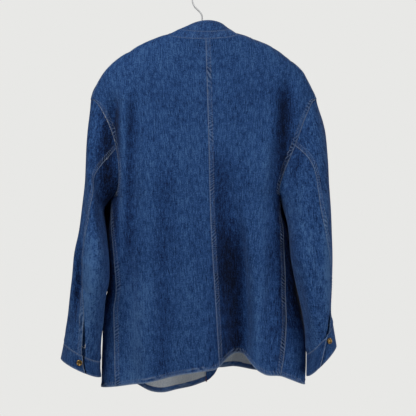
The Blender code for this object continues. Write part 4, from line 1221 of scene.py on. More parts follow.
def hanger_plastic(hardware):
    """Moulded polypropylene with a satin skin."""
    shades = (hardware.plastic, darker(hardware.plastic, 0.9))
    gloss = {"roughness": (0.36, 0.48), "metallic": 0.0}
    return patterned_solid("moulded_polypropylene", *shades, grain=0.011, depth=0.00005, **gloss)


def matt_paint(stage):
    """Matt emulsion on the floor, hardly mottled."""
    shades = (stage.floor, darker(stage.floor, 0.96))
    gloss = {"roughness": (0.6, 0.8), "metallic": 0.0}
    return patterned_solid("matt_floor_paint", *shades, grain=0.05, depth=0.0001, **gloss)


def lengths_along(points, axis):
    """Lengths along the rows or columns of a grid of points, from each one's first point."""
    steps = np.linalg.norm(np.diff(points, axis=axis), axis=-1)
    start = np.zeros_like(np.take(points[..., 0], [0], axis=axis))
    return np.concatenate([start, np.cumsum(steps, axis=axis)], axis=axis)


def crowded_places(length, start_gap, end_gap, count):
    """Distances along a row, close together beside its two edges and even between them."""
    near = np.array(EDGE_STEPS)
    first = start_gap + near
    last = length - end_gap - near[::-1]
    middle = np.linspace(first[-1], last[0], count + 1)[1:-1]
    return np.concatenate([first, middle, last])


def crowded_row(read, first, last, start_gap, end_gap, count):
    """Angles or turns of one row of a panel, from its first edge to its last."""
    dense = np.linspace(first, last, ARC_SAMPLES)
    lengths = lengths_along(read(dense), 0)
    return np.interp(crowded_places(lengths[-1], start_gap, end_gap, count), lengths, dense)


def shoulder_shares(count):
    """Shares of the rows that end on the shoulder seam, at even steps along it."""
    shares = np.linspace(0.0, ARMHOLE_TOP - ARMHOLE_EASE, ARC_SAMPLES)
    lengths = lengths_along(body_point(math.pi / 2.0, shares, "right"), 0)
    return np.interp(np.linspace(0.0, lengths[-1], count + 1), lengths, shares)


def body_shares():
    """Shares of all rows of the body: even on the shoulder, round the armhole and down to the hem's fold."""
    turns = np.linspace(0.0, math.pi, ARMHOLE_ROWS + 1)
    armhole = armhole_share(turns) - ARMHOLE_EASE * np.cos(turns)
    hem = 1.0 - np.array(EDGE_STEPS)[::-1] / BODY_LENGTH
    lower = np.linspace(armhole[-1], hem[0], LOWER_ROWS + 1)[1:-1]
    return np.concatenate([shoulder_shares(SHOULDER_ROWS)[:-1], armhole, lower, hem])


def back_angles(share, side):
    """Row of a back half, from the middle seam to its outer edge."""
    middle_drop = float(body_drop(0.0, share, side))
    seam = math.asin(float(BACK_SEAM_ACROSS(middle_drop)) / float(RIGHT_HALF(middle_drop)))
    outer = side_sign(side) * outer_edge_angle(share, "back", side)
    if side == "left":
        seam = seam + CENTRE_LAP / float(RIGHT_HALF(middle_drop))

    def read(angles):
        return body_point(angles, share, side)

    return crowded_row(read, seam, outer, SEAM_GAP / 2.0, edge_gap(share), BACK_MIDDLE_STEPS)


def front_angles(share, side):
    """Row of a front, from its outer edge to its front edge."""
    beyond = LEFT_EDGE_ANGLE if side == "left" else RIGHT_EDGE_ANGLE
    outer = side_sign(side) * outer_edge_angle(share, "front", side)
    edge = side_sign(side) * math.radians(180.0 + beyond)

    def read(angles):
        return body_point(angles, share, side)

    return crowded_row(read, outer, edge, edge_gap(share), 0.0, FRONT_MIDDLE_STEPS)


def facing_angles(share, side):
    """Row of a facing: the strip of the front next to its front edge."""
    full = front_angles(share, side)
    dense = np.linspace(full[0], full[-1], ARC_SAMPLES)
    lengths = lengths_along(body_point(dense, share, side), 0)
    places = np.linspace(lengths[-1] - FACING_WIDTH, lengths[-1], FACING_STEPS + 1)
    return np.interp(places, lengths, dense)


def sleeve_turns(kind, side, section):
    """Row of an upper sleeve, an under sleeve or a cuff, from edge to edge."""
    at = min(section, SLEEVE_END)
    back_gap = gap_turn(side, at, back_seam, float(vent_half_gap(side, at)))
    front_gap = gap_turn(side, at, front_seam, SLEEVE_SEAM_GAP / 2.0)
    cuff_lap = gap_turn(side, at, back_seam, CUFF_LAP)
    cuff_open = gap_turn(side, at, back_seam, CUFF_OPEN)
    start_lap, end_lap = (-cuff_open, cuff_lap) if side == "left" else (cuff_lap, -cuff_open)
    back = back_seam(side, section)
    front = front_seam(side, section)
    first, last, count = {
        "upper": (back - back_gap, front + front_gap, SLEEVE_MIDDLE_STEPS),
        "under": (2.0 * math.pi + front - front_gap, back + back_gap, SLEEVE_MIDDLE_STEPS),
        "cuff": (back + start_lap, back - end_lap - 2.0 * math.pi, CUFF_MIDDLE_STEPS),
    }[kind]

    def read(turns):
        return sleeve_point(side, turns, np.full_like(turns, section))

    return crowded_row(read, first, last, 0.0, 0.0, count)


def body_grid(angles_of, side, shares):
    """Outer points and outward directions of a body panel, row by row."""
    angles = np.array([angles_of(share, side) for share in shares])
    place = np.broadcast_to(shares[:, None], angles.shape)
    return body_point(angles, place, side), body_normal(angles, place, side)


def sleeve_grid(kind, side, sections):
    """Outer points and outward directions of a sleeve piece, row by row."""
    turns = np.array([sleeve_turns(kind, side, section) for section in sections])
    place = np.broadcast_to(sections[:, None], turns.shape)
    normals = sleeve_normal(side, turns, place)
    if sections[0] == 0.0:
        normals[0] = armhole_normal(side, turns[0], "sleeve")
    return sleeve_point(side, turns, place), normals


def turn_armhole_wall(normals, shares, side, column, back):
    """Turn a body panel's wall at its armhole edge to lie along the sleeve's."""
    low = ARMHOLE_TOP - ARMHOLE_EASE - NEARLY_ZERO
    high = ARMHOLE_LOW + ARMHOLE_EASE + NEARLY_ZERO
    for row, share in enumerate(shares):
        if low < share < high:
            turn = armhole_turn(share)
            full = turn if back else 2.0 * math.pi - turn
            normals[row, column] = armhole_normal(side, np.array(full), "body")


def crease_height(piece, points, normals, creases=CREASES):
    """How far a table's creases lift the points of a named form, or how much painted shade and light they
    give it.
    """
    height = np.zeros(points.shape[:-1])
    for row in creases:
        crease = dict(zip(CREASE_COLUMNS, row))
        if crease["piece"] != piece:
            continue
        start = np.array([crease["x_1"], -crease["drop_1"]])
        way = np.array([crease["x_2"], -crease["drop_2"]]) - start
        length = np.linalg.norm(way)
        away = points[..., [0, 2]] - start
        along = (away @ way) / length ** 2
        across = (away[..., 0] * way[1] - away[..., 1] * way[0]) / length
        begun = ease(-CREASE_TAPER, CREASE_TAPER, along)
        ended = ease(1.0 - CREASE_TAPER, 1.0 + CREASE_TAPER, along)
        facing = -normals[..., 1] if crease["face"] == "back" else normals[..., 1]
        shape = bell(across, crease["half_width"]) * begun * (1.0 - ended)
        height = height + crease["height"] * shape * ease(*CREASE_FACING, facing)
    return height


def slack_height(points):
    """Slow unevenness of hanging cloth at points of a form."""
    height = np.zeros(points.shape[:-1])
    x, y, z = np.moveaxis(points, -1, 0)
    for across, down, start, size in SLACK_WAVES:
        sideways = wave(x, across, start + SLACK_DEPTH * y / across)
        height = height + size * sideways * np.cos(2.0 * math.pi * z / down + 2.0 * start)
    return height


def puckers(along, start):
    """Uneven waves from -1 to 1 along a sewn edge."""
    wander_length, wander = PUCKER_WANDER
    swell_length, swell, swell_start = PUCKER_SWELL
    strength = 1.0 - swell + swell * wave(along, swell_length, swell_start * start)
    return wave(along, PUCKER_SPACING, wander * wave(along, wander_length, start)) * strength


def rubbed(waves, ground, crest, painted_hollow_shade, painted_shade_from):
    """How worn a puckered band is, paler on its crests, and how much painted shade darkens its hollows."""
    return ground + crest * np.clip(waves, 0.0, 1.0) - painted_hollow_shade * np.clip(-waves - painted_shade_from, 0.0, 1.0)


def sewn_band(cloth, distance, along, start):
    """Height of a felled seam's band beside an edge, and how worn it is, with painted shade in its hollows.
    """
    width = cloth.band_width
    raised = 1.0 - ease(width + BAND_EASE[0], width + BAND_EASE[1], distance)
    waves = puckers(along + PUCKER_SLANT * distance, start)
    beyond, reach = BAND_BEYOND
    strength = raised * ease(*BAND_FOOT, distance) + beyond * bell(distance - width, reach)
    groove = sum(bell(distance - inset, GROOVE_WIDTH) for inset in FELLED_ROWS)
    height = raised * cloth.band_height + cloth.pucker_height * waves * strength - cloth.groove_depth * groove
    worn, reach = BAND_EDGE
    edge = bell(distance, reach)
    return height, raised * rubbed(waves, *BAND_RUB) * (1.0 - edge) + worn * edge


def raise_points(panel, height):
    """Move a panel's points out along their own directions."""
    panel.points = panel.points + panel.normals * height[..., None]


def add_wear(panel, wear):
    """Keep the stronger of a panel's old and new wear and painted shade at every point."""
    panel.wear = np.where(np.abs(wear) > np.abs(panel.wear), wear, panel.wear)


def settle(panel, piece, calm):
    """Lay the small creases and the slackness on a panel, less beside the edges where it is held."""
    height = crease_height(piece, panel.points, panel.normals) + slack_height(panel.points)
    raise_points(panel, height * calm)
    measure(panel)


def measure(panel):
    """Find every point's distances from the panel's four edges."""
    panel.from_start = lengths_along(panel.points, 1)
    panel.to_end = panel.from_start[:, -1:] - panel.from_start
    panel.from_top = lengths_along(panel.points, 0)
    panel.to_hem = panel.from_top[-1:] - panel.from_top


def new_panel(points, normals, straight=0):
    """A panel of outer points and outward directions, unworn, its grain along its straight column."""
    panel = SimpleNamespace(points=points, normals=normals, straight=straight)
    panel.wear = np.zeros(points.shape[:-1])
    panel.dye = np.zeros(points.shape[:-1])
    panel.fold = np.zeros(points.shape[:-1])
    measure(panel)
    down = panel.from_top[:, panel.from_top.shape[1] // 2]
    across = panel.from_start - panel.from_start[:, [straight]]
    across, along = np.broadcast_arrays(across, down[:, None])
    panel.grain = np.stack([across, np.zeros_like(across), along], axis=-1)
    return panel


def sleeve_grain(side, points):
    """Places on a sleeve turned so that its length runs straight down, as the warp does."""
    top = sleeve_middle(side, 1.0)
    way = unit(sleeve_middle(side, SLEEVE_END) - top)
    across = unit(np.cross(np.array([0.0, 1.0, 0.0]), way))
    return (points - top) @ np.stack([across, np.cross(way, across), way], axis=-1)


def add_band(panel, cloth, distance, along, start, where):
    """Raise a felled seam's band on a panel where it runs."""
    height, worn = sewn_band(cloth, distance, along, start)
    raise_points(panel, height * where)
    add_wear(panel, worn * where)


def add_hem(panel, cloth, start):
    """Turn up the panel's hem: a thicker band, roped along its stitching, worn on its edge, with painted
    shade in the hollows of its roping.
    """
    distance = panel.to_hem
    raised = 1.0 - ease(cloth.hem_width + HEM_EASE[0], cloth.hem_width + HEM_EASE[1], distance)
    waves = puckers(panel.from_start + PUCKER_SLANT * distance, start)
    groove = bell(distance - HEM_ROW[0], GROOVE_WIDTH)
    height = raised * (cloth.band_height + cloth.pucker_height * waves) - cloth.groove_depth * groove
    raise_points(panel, height)
    panel.fold = np.maximum(panel.fold, raised)
    worn, reach = HEM_EDGE
    edge = bell(distance, reach)
    add_wear(panel, worn * edge + raised * rubbed(waves, *HEM_RUB) * (1.0 - edge))


def edge_run(panel, edge, inset):
    """Points and outward directions along a line at an even distance inside one edge of a panel."""
    distances = {
        "start": panel.from_start,
        "end": panel.to_end,
        "armhole": panel.from_start,
        "top": panel.from_top.T,
        "hem": panel.to_hem.T,
    }[edge]
    lines = np.concatenate([panel.points, panel.normals], axis=-1)
    if edge in ("top", "hem"):
        lines = lines.swapaxes(0, 1)
    found = []
    for line, distance in zip(lines, distances):
        order = np.argsort(distance)
        found.append([np.interp(inset, distance[order], column[order]) for column in line.T])
    found = np.array(found)
    if edge == "armhole":
        found = found[panel.armhole_rows]
    return found[:, :3], unit(found[:, 3:])


def read_line(places, lengths, values):
    """Points or directions at places along a line, from those at its known lengths."""
    return np.stack([np.interp(places, lengths, column) for column in values.T], axis=-1)


def stitch_frames(points, normals, pitch):
    """Middles and directions of stitches at even steps along a line."""
    lengths = lengths_along(points, 0)
    count = max(int(lengths[-1] / pitch), 1)
    places = (np.arange(count) + 0.5) * lengths[-1] / count
    ahead = read_line(places + pitch / 4.0, lengths, points)
    along = unit(ahead - read_line(places - pitch / 4.0, lengths, points))
    sideways = unit(np.cross(read_line(places, lengths, normals), along))
    frames = np.stack([along, sideways, unit(np.cross(along, sideways))], axis=-2)
    return read_line(places, lengths, points), frames


def stitch_mesh(name, middles, frames, size):
    """One mesh of many stitches, each a small long bead lying on the cloth."""
    bead = bmesh.new()
    bmesh.ops.create_icosphere(bead, subdivisions=1, radius=0.5)
    corners = np.array([corner.co[:] for corner in bead.verts])
    faces = np.array([[corner.index for corner in face.verts] for face in bead.faces])
    bead.free()
    placed = middles[:, None, :] + np.einsum("va,nab->nvb", corners * np.array(size), frames)
    joined = faces[None, :, :] + np.arange(len(middles))[:, None, None] * len(corners)
    mesh = bpy.data.meshes.new(name)
    mesh.from_pydata(placed.reshape(-1, 3).tolist(), [], joined.reshape(-1, 3).tolist())
    mesh.shade_smooth()
    return mesh


def add_piece(name, mesh, materials, node=None):
    """Put a mesh in the scene as a piece of the object that rides with it."""
    for material in materials:
        mesh.materials.append(material)
    piece = bpy.data.objects.new(name, mesh)
    bpy.context.scene.collection.objects.link(piece)
    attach(piece, "root")
    if node:
        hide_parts(node)
    return piece


def finished_mesh(shape, name):
    """Turn a closed shape to a smooth mesh with its faces outward."""
    bmesh.ops.recalc_face_normals(shape, faces=list(shape.faces))
    mesh = bpy.data.meshes.new(name)
    shape.to_mesh(mesh)
    shape.free()
    mesh.shade_smooth()
    return mesh


def cloth_mesh(name, panel, thickness, near, fold_depth):
    """A closed cloth wall: outer face on the panel's points, inner face behind it, and the edge between."""
    rows, steps = (size - 1 for size in panel.points.shape[:2])
    outer = (panel.points - panel.normals * near).reshape(-1, 3)
    depth = near + thickness + fold_depth * panel.fold
    inner = (panel.points - panel.normals * depth[..., None]).reshape(-1, 3)
    shape = bmesh.new()
    bmesh.ops.create_grid(shape, x_segments=steps, y_segments=rows, size=0.5)
    kept = set(shape.verts)
    bmesh.ops.extrude_face_region(shape, geom=list(shape.faces), use_keep_orig=True)
    shape.verts.index_update()
    flat = np.array([corner.co[:2] for corner in shape.verts])
    column, row = np.rint((flat + 0.5) * (steps, rows)).astype(int).T
    order = row * (steps + 1) + column
    is_outer = np.array([corner in kept for corner in shape.verts])
    placed = np.where(is_outer[:, None], outer[order], inner[order])
    for corner, place in zip(shape.verts, placed):
        corner.co = place
    for edge in shape.edges:
        first, second = (is_outer[corner.index] for corner in edge.verts)
        sides = [sum(bool(is_outer[corner.index]) for corner in face.verts) for face in edge.link_faces]
        edge.smooth = first != second or sides[0] == sides[1]
    mesh = finished_mesh(shape, name)
    paint_cloth(mesh, panel, order, is_outer)
    return mesh


def paint_cloth(mesh, panel, order, is_outer):
    """Give a cloth wall its UV map in metres, its grain, its wear with painted shade, its painted shade and
    light, and its three materials.
    """
    corners = np.empty(len(mesh.loops), dtype=int)
    mesh.loops.foreach_get("vertex_index", corners)
    down = panel.from_top[:, panel.from_top.shape[1] // 2]
    cut = np.stack(np.broadcast_arrays(panel.from_start, down[:, None]), axis=-1).reshape(-1, 2)
    layer = mesh.uv_layers.new(name="cut")
    layer.data.foreach_set("uv", cut[order][corners].astype(np.float32).ravel())
    layer = mesh.attributes.new("grain", "FLOAT_VECTOR", "POINT")
    layer.data.foreach_set("vector", panel.grain.reshape(-1, 3)[order].astype(np.float32).ravel())
    for name in ("wear", "dye"):
        layer = mesh.attributes.new(name, "FLOAT", "POINT")
        layer.data.foreach_set("value", getattr(panel, name).ravel()[order].astype(np.float32))
    outer_corners = is_outer[corners].reshape(-1, 4).sum(axis=1)
    folded = panel.fold.ravel()[order][corners].reshape(-1, 4).mean(axis=1) > 0.5
    inside = np.where(folded, 0, 1)
    index = np.where(outer_corners == 4, 0, np.where(outer_corners == 0, inside, 2))
    mesh.polygons.foreach_set("material_index", index.astype(np.int32))


def add_stitching(node, panel, cloth, kind):
    """Sew the rows of stitches that a kind of piece has, as one mesh."""
    rows = []
    for edge, insets in STITCH_ROWS.get(kind, ()):
        for inset in insets:
            points, normals = edge_run(panel, edge, inset)
            rows.append(stitch_frames(points + normals * STITCH_SUNK, normals, cloth.stitch_pitch))
    if not rows:
        return []
    middles, frames = (np.concatenate(parts) for parts in zip(*rows))
    size = (cloth.stitch_length, cloth.stitch_width, cloth.stitch_width)
    mesh = stitch_mesh(f"{node}_stitching", middles, frames, size)
    return [add_piece(f"{node}_stitching", mesh, [cotton_thread(cloth)])]


def cloth_piece(node, panel, cloth, thickness, kind, near=0.0, sides=("right", "wrong")):
    measure(panel)
    name = f"{node}_cloth"
    mesh = cloth_mesh(name, panel, thickness, near, cloth.hem_fold)
    finishes = {"right": denim_right_side, "wrong": denim_wrong_side}
    materials = [finishes[side](cloth) for side in sides] + [denim_worn_edge(cloth)]
    piece = add_piece(name, mesh, materials, node)
    sewing = add_stitching(node, panel, cloth, kind)


def dressed_body(side, face, cloth):
    """A back or a front with its creases, sewn bands and hem."""
    shares = body_shares()
    on_back = face == "back"
    points, normals = body_grid(back_angles if on_back else front_angles, side, shares)
    turn_armhole_wall(normals, shares, side, -1 if on_back else 0, on_back)
    panel = new_panel(points, normals, 0 if on_back else -1)
    # Painted shade in the folds, hollows and side gaps, and painted light on the ridges, from the table
    panel.dye = body_folds(face, points[..., 0] - CENTRE_X, -points[..., 2], BODY_PAINTED_SHADE_AND_LIGHT)
    panel.armhole_rows = (shares > ARMHOLE_TOP) & (shares < ARMHOLE_LOW)
    in_armhole = panel.armhole_rows[:, None]
    outer = panel.to_end if on_back else panel.from_start
    near_armhole = np.where(in_armhole, ease(0.0, SLACK_CALM, outer), 1.0)
    settle(panel, "body", near_armhole * ease(0.0, SLACK_CALM, panel.from_top))
    start = BAND_START[side]
    if on_back:
        add_band(panel, cloth, panel.to_end, panel.from_top[:, -1:], start, 1.0)
    else:
        add_band(panel, cloth, panel.from_start, panel.from_top[:, :1], start + FRONT_BAND_SHIFT, in_armhole)
        worn, reach = FRONT_EDGE
        panel.wear = np.maximum(panel.wear, worn * bell(panel.to_end, reach))
    if on_back and side == "right":
        add_band(panel, cloth, panel.from_start, panel.from_top[:, :1], MIDDLE_BAND_START, 1.0)
    add_hem(panel, cloth, start + HEM_SHIFT)
    return panel


def faced_front(side):
    """A facing: the strip inside a front beside its edge, settled with it."""
    panel = new_panel(*body_grid(facing_angles, side, body_shares()))
    settle(panel, "body", ease(0.0, SLACK_CALM, panel.from_top))
    return panel


class JACKET_OT_body(bpy.types.Operator):
    """Build the two backs, the two fronts and their facings"""

    bl_idname = "jacket.body"
    bl_label = "Backs, fronts and facings"

    def execute(self, context):
        cloth = context.scene.jacket_cloth
        near = cloth.thickness + cloth.hem_fold + SEAM_GAP
        for side in SIDES:
            for face in ("back", "front"):
                node = f"{face}_{side}"
                panel = dressed_body(side, face, cloth)
                cloth_piece(node, panel, cloth, cloth.thickness, node)
            node = f"facing_{side}"
            panel = faced_front(side)
            turned = ("wrong", "right")
            cloth_piece(node, panel, cloth, cloth.facing_thickness, "facing", near, turned)
        add_bar_tack(cloth)
        return {"FINISHED"}


def add_bar_tack(cloth):
    """A short close row of orange stitches at the hem beside the left facing."""
    share = 1.0 - TACK_INSET / BODY_LENGTH
    angle = facing_angles(share, "left")[0]
    outward = body_normal(angle, share, "left")
    inside = body_point(angle, share, "left") - outward * (cloth.thickness + cloth.hem_fold + TACK_RISE)
    along = unit(np.array([1.0, 0.0, 0.0]) - outward * outward[0])
    upward = np.cross(along, outward)
    steps = (np.arange(TACK_STITCHES) / (TACK_STITCHES - 1.0) - 0.5) * TACK_LENGTH
    middles = inside + steps[:, None] * upward
    frames = np.tile(np.stack([along, upward, -outward]), (TACK_STITCHES, 1, 1))
    size = (TACK_WIDTH, TACK_LENGTH / TACK_STITCHES * TACK_FULLNESS, cloth.stitch_width)
    mesh = stitch_mesh("bar_tack", middles, frames, size)
    add_piece("bar_tack", mesh, [tack_thread(cloth)])


def dressed_sleeve(side, kind, cloth):
    """An upper or under sleeve with its creases and gathers, and the upper one's felled back seam."""
    last = sleeve_point(side, 0.0, SLEEVE_END) - sleeve_point(side, 0.0, SLEEVE_END - SECTION_STEP)
    sections = np.linspace(0.0, 1.0, SLEEVE_ROWS + 1) ** SLEEVE_CROWDING * SLEEVE_END
    sections[-1] = SLEEVE_END - SECTION_STEP * CUFF_SEAM_GAP / float(np.linalg.norm(last))
    points, normals = sleeve_grid(kind, side, sections)
    panel = new_panel(points, normals)
    panel.grain = sleeve_grain(side, points)
    # Painted shade and light on the sleeve, from its table
    panel.dye = crease_height(f"sleeve_{side}", points, normals, SLEEVE_PAINTED_SHADE_AND_LIGHT)
    calm = ease(0.0, SLACK_CALM, panel.from_top) * ease(0.0, SLACK_CALM, panel.to_hem)
    settle(panel, f"sleeve_{side}", calm)
    add_gathers(panel, GATHER_START[kind])
    measure(panel)
    if kind == "upper":
        add_band(panel, cloth, panel.from_start, panel.from_top[:, :1], SLEEVE_BAND_START[side], 1.0)
    return panel


def dressed_cuff(side, cloth):
    """A cuff, open at the vent, one end lapped under the other with painted shade on it, puckered and worn
    along its edges.
    """
    points, normals = sleeve_grid("cuff", side, np.linspace(SLEEVE_END, CUFF_END, CUFF_ROWS + 1))
    panel = new_panel(points, normals)
    turned_in = 1.0 - ease(0.5 * CUFF_LAP_REACH, 1.5 * CUFF_LAP_REACH, panel.to_end)
    raise_points(panel, CUFF_LAP_RISE[side] * turned_in)
    edge = np.minimum.reduce([panel.from_top, panel.to_hem, panel.from_start, panel.to_end])
    share, reach = CUFF_PUCKER
    waves = puckers(panel.from_start + CUFF_SLANT * panel.from_top, CUFF_START) * bell(edge, reach)
    groove = bell(edge - EDGE_ROW[0], GROOVE_WIDTH)
    height = share * cloth.pucker_height * waves - cloth.groove_depth * groove
    raise_points(panel, height * ease(0.0, CUFF_CALM, edge))
    worn, reach = CUFF_EDGE
    worn = worn * bell(edge, reach) + CUFF_CREST * np.clip(waves, 0.0, 1.0)
    under = panel.to_end if side == "left" else panel.from_start
    # The lapped-under end is painted near-black: painted shade in the slit.
    panel.wear = np.where(under < CUFF_LAP + 2.0 * CUFF_OPEN, -1.0, np.clip(worn, 0.0, 1.0))
    return panel


class JACKET_OT_sleeves(bpy.types.Operator):
    """Build the upper and under sleeves and the cuffs"""

    bl_idname = "jacket.sleeves"
    bl_label = "Sleeves and cuffs"

    def execute(self, context):
        cloth = context.scene.jacket_cloth
        # The sleeves show the indigo right side on their inside as well, as painted shade where real denim's
        # wrong side is pale; the cuffs, sewn double, really are indigo inside.
        both = ("right", "right")
        for side in SIDES:
            for kind in ("upper", "under"):
                node = f"sleeve_{side}_{kind}"
                panel = dressed_sleeve(side, kind, cloth)
                cloth_piece(node, panel, cloth, cloth.thickness, kind, sides=both)
            panel = dressed_cuff(side, cloth)
            cloth_piece(f"cuff_{side}", panel, cloth, cloth.cuff_thickness, "cuff", sides=both)
        return {"FINISHED"}


def add_gathers(panel, start):
    """Small folds where the sleeve's end is gathered into the cuff."""
    wander_length, wander = GATHER_WANDER
    along = panel.from_start
    waves = wave(along, GATHER_SPACING, wander * wave(along, wander_length, start))
    strength = bell(panel.to_hem, GATHER_REACH) * ease(0.0, GATHER_CALM, panel.to_hem)
    raise_points(panel, GATHER_HEIGHT * waves * strength)


class JACKET_OT_collar(bpy.types.Operator):
    """Build the collar's stand and its turned-up leaf"""

    bl_idname = "jacket.collar"
    bl_label = "Collar"

    def execute(self, context):
        cloth = context.scene.jacket_cloth
        end = math.radians(COLLAR_END_ANGLE)
        angles = np.linspace(-end, end, 2 * NECK_STEPS + 1)
        foot = neckline(angles, body_point)
        for row in COLLAR_PIECES:
            collar = SimpleNamespace(**dict(zip(COLLAR_PIECE_COLUMNS, row)))
            top = even_edge(collar.top, angles)
            points = np.array([foot + (top - foot) * step / collar.rows for step in range(collar.rows + 1)])
            normals = unit(np.cross(np.gradient(points, axis=1), np.gradient(points, axis=0)))
            panel = new_panel(points, normals, NECK_STEPS)
            panel.points = raised_foot(panel.points, normals)
            bow = np.sin(math.pi * panel.from_top / panel.from_top[-1:])
            waves = puckers(panel.from_start * COLLAR_WAVE_RATIO, collar.start) * bow
            raise_points(panel, collar.pucker * waves)
            measure(panel)
            edge = np.minimum(panel.to_hem, panel.from_top) if collar.foot_worn else panel.to_hem
            worn, reach = COLLAR_EDGE
            panel.wear = worn * bell(edge, reach) + COLLAR_CREST * np.clip(waves, 0.0, 1.0)
            cloth_piece(collar.node, panel, cloth, cloth.thickness, collar.node)
            foot = top
        return {"FINISHED"}


def add_button(node, radius, hardware, place, outward):
    """A button turned from its profile, standing on the cloth at a place."""
    shape = bmesh.new()
    height = hardware.button_height
    corners = [shape.verts.new((part[0] * radius, 0.0, part[1] * height)) for part in BUTTON_PROFILE]
    edges = [shape.edges.new(pair) for pair in zip(corners, corners[1:])]
    bmesh.ops.spin(
        shape,
        geom=corners + edges,
        cent=(0.0, 0.0, 0.0),
        axis=(0.0, 0.0, 1.0),
        dvec=(0.0, 0.0, 0.0),
        angle=2.0 * math.pi,
        steps=BUTTON_TURNS,
        use_merge=True,
    )
    bmesh.ops.remove_doubles(shape, verts=list(shape.verts), dist=radius * BUTTON_MERGE)
    turn = Vector((0.0, 0.0, 1.0)).rotation_difference(Vector(outward))
    matrix = Matrix.Translation(Vector(place) + Vector(outward) * BUTTON_SEAT) @ turn.to_matrix().to_4x4()
    bmesh.ops.transform(shape, matrix=matrix, verts=list(shape.verts))
    name = f"{node}_brass"
    add_piece(name, finished_mesh(shape, name), [aged_brass(hardware)], node)


def buttonhole_frames(place, outward, towards):
    """Stitches round one worked buttonhole, from a place towards the cloth's edge."""
    along = unit(towards - outward * (towards @ outward))
    across = np.cross(outward, along)
    angles = np.arange(HOLE_STITCHES) * 2.0 * math.pi / HOLE_STITCHES
    long_half = HOLE_LENGTH / 2.0
    ring = np.stack([np.cos(angles) * long_half, np.sin(angles) * HOLE_WIDTH / 2.0], axis=-1)
    middles = place + along * HOLE_OFFSET + ring[:, :1] * along + ring[:, 1:] * across
    spokes = unit(ring[:, :1] / long_half * along * HOLE_LEAN + ring[:, 1:] / HOLE_WIDTH * across)
    sideways = np.cross(outward, spokes)
    frames = np.stack([spokes, sideways, np.broadcast_to(outward, spokes.shape)], axis=-2)
    return middles, frames


class JACKET_OT_buttons(bpy.types.Operator):
    """Build the front buttons with their buttonholes, and the cuff buttons"""

    bl_idname = "jacket.buttons"
    bl_label = "Buttons and buttonholes"

    def execute(self, context):
        cloth = context.scene.jacket_cloth
        hardware = context.scene.jacket_hardware
        holes = []
        for number, share in enumerate(FRONT_BUTTON_SHARES, start=1):
            place = body_point(-math.pi, share, "left")
            outward = body_normal(-math.pi, share, "left")
            add_button(f"button_front_{number}", hardware.button_radius, hardware, place, outward)
            holes.append(buttonhole_frames(place + outward * STITCH_SUNK, outward, np.array([1.0, 0.0, 0.0])))
        middles, frames = (np.concatenate(parts) for parts in zip(*holes))
        size = (cloth.stitch_length, *(share * cloth.stitch_width for share in HOLE_THREAD))
        mesh = stitch_mesh("buttonholes", middles, frames, size)
        add_piece("buttonholes", mesh, [cotton_thread(cloth)])
        section = np.array(CUFF_BUTTON_SECTION)
        for side in SIDES:
            degrees = float(SEAM_ANGLE[side](CUFF_BUTTON_SECTION)) + CUFF_BUTTON_TURN[side]
            turn = np.array(math.radians(degrees))
            place = sleeve_point(side, turn, section)
            outward = sleeve_normal(side, turn, section)
            add_button(f"button_cuff_{side}", hardware.cuff_button_radius, hardware, place, outward)
        return {"FINISHED"}


def smooth_path(points, count):
    """Even steps along a smooth line through points."""
    lengths = lengths_along(points, 0)
    places = np.linspace(0.0, lengths[-1], count + 1)
    return np.stack([smooth_curve(lengths, column)(places) for column in points.T], axis=-1)


def add_bar(node, ending, knots, count, radius, sides, material):
    """A round bar along a smooth line in the plane y = 0, drawn out ring by ring, its ends rounded."""
    path = smooth_path(knots, count)
    radii = rounded_ends(count, radius, float(lengths_along(path, 0)[-1]), ARM_END_RATIO)
    shape = bmesh.new()
    frames = []
    for place, way in zip(path, np.gradient(path, axis=0)):
        turn = Vector((0.0, 0.0, 1.0)).rotation_difference(Vector((way[0], 0.0, way[1])).normalized())
        frames.append(Matrix.Translation((place[0], 0.0, place[1])) @ turn.to_matrix().to_4x4())
    bmesh.ops.create_circle(shape, cap_ends=True, segments=sides, radius=1.0)
    ring = list(shape.verts)
    flat = [corner.co.copy() for corner in ring]
    for corner, start in zip(ring, flat):
        corner.co = frames[0] @ (start * radii[0])
    edges = list(shape.edges)
    for frame_here, size in zip(frames[1:], radii[1:]):
        drawn = bmesh.ops.extrude_edge_only(shape, edges=edges)["geom"]
        ring = [part for part in drawn if isinstance(part, bmesh.types.BMVert)]
        for corner, start in zip(ring, flat):
            corner.co = frame_here @ (start * size)
        edges = [part for part in drawn if isinstance(part, bmesh.types.BMEdge)]
        edges = [edge for edge in edges if all(corner in ring for corner in edge.verts)]
    bmesh.ops.edgeloop_fill(shape, edges=edges)
    name = f"{node}_{ending}"
    add_piece(name, finished_mesh(shape, name), [material], node)


def arm_path(side):
    """One arm of the hanger, under the cloth of the shoulder, from the neck to its end."""
    shares = shoulder_shares(ARM_PART_ROWS)[:ARM_ROWS]
    angles = np.full_like(shares, side_sign(side) * math.pi / 2.0)
    path = body_point(angles, shares, side) - body_normal(angles, shares + SLOPE_STEP, side) * ARM_SEAT
    return path[:, [0, 2]]


def rounded_ends(count, radius, length, blunt):
    """Radii along a bar whose ends close in a half round."""
    places = np.linspace(0.0, length, count + 1)
    reach = np.minimum(places, length - places)
    part = np.clip(reach / radius, 0.0, 1.0)
    return radius * np.maximum(np.sqrt(1.0 - (1.0 - part) ** 2), blunt)


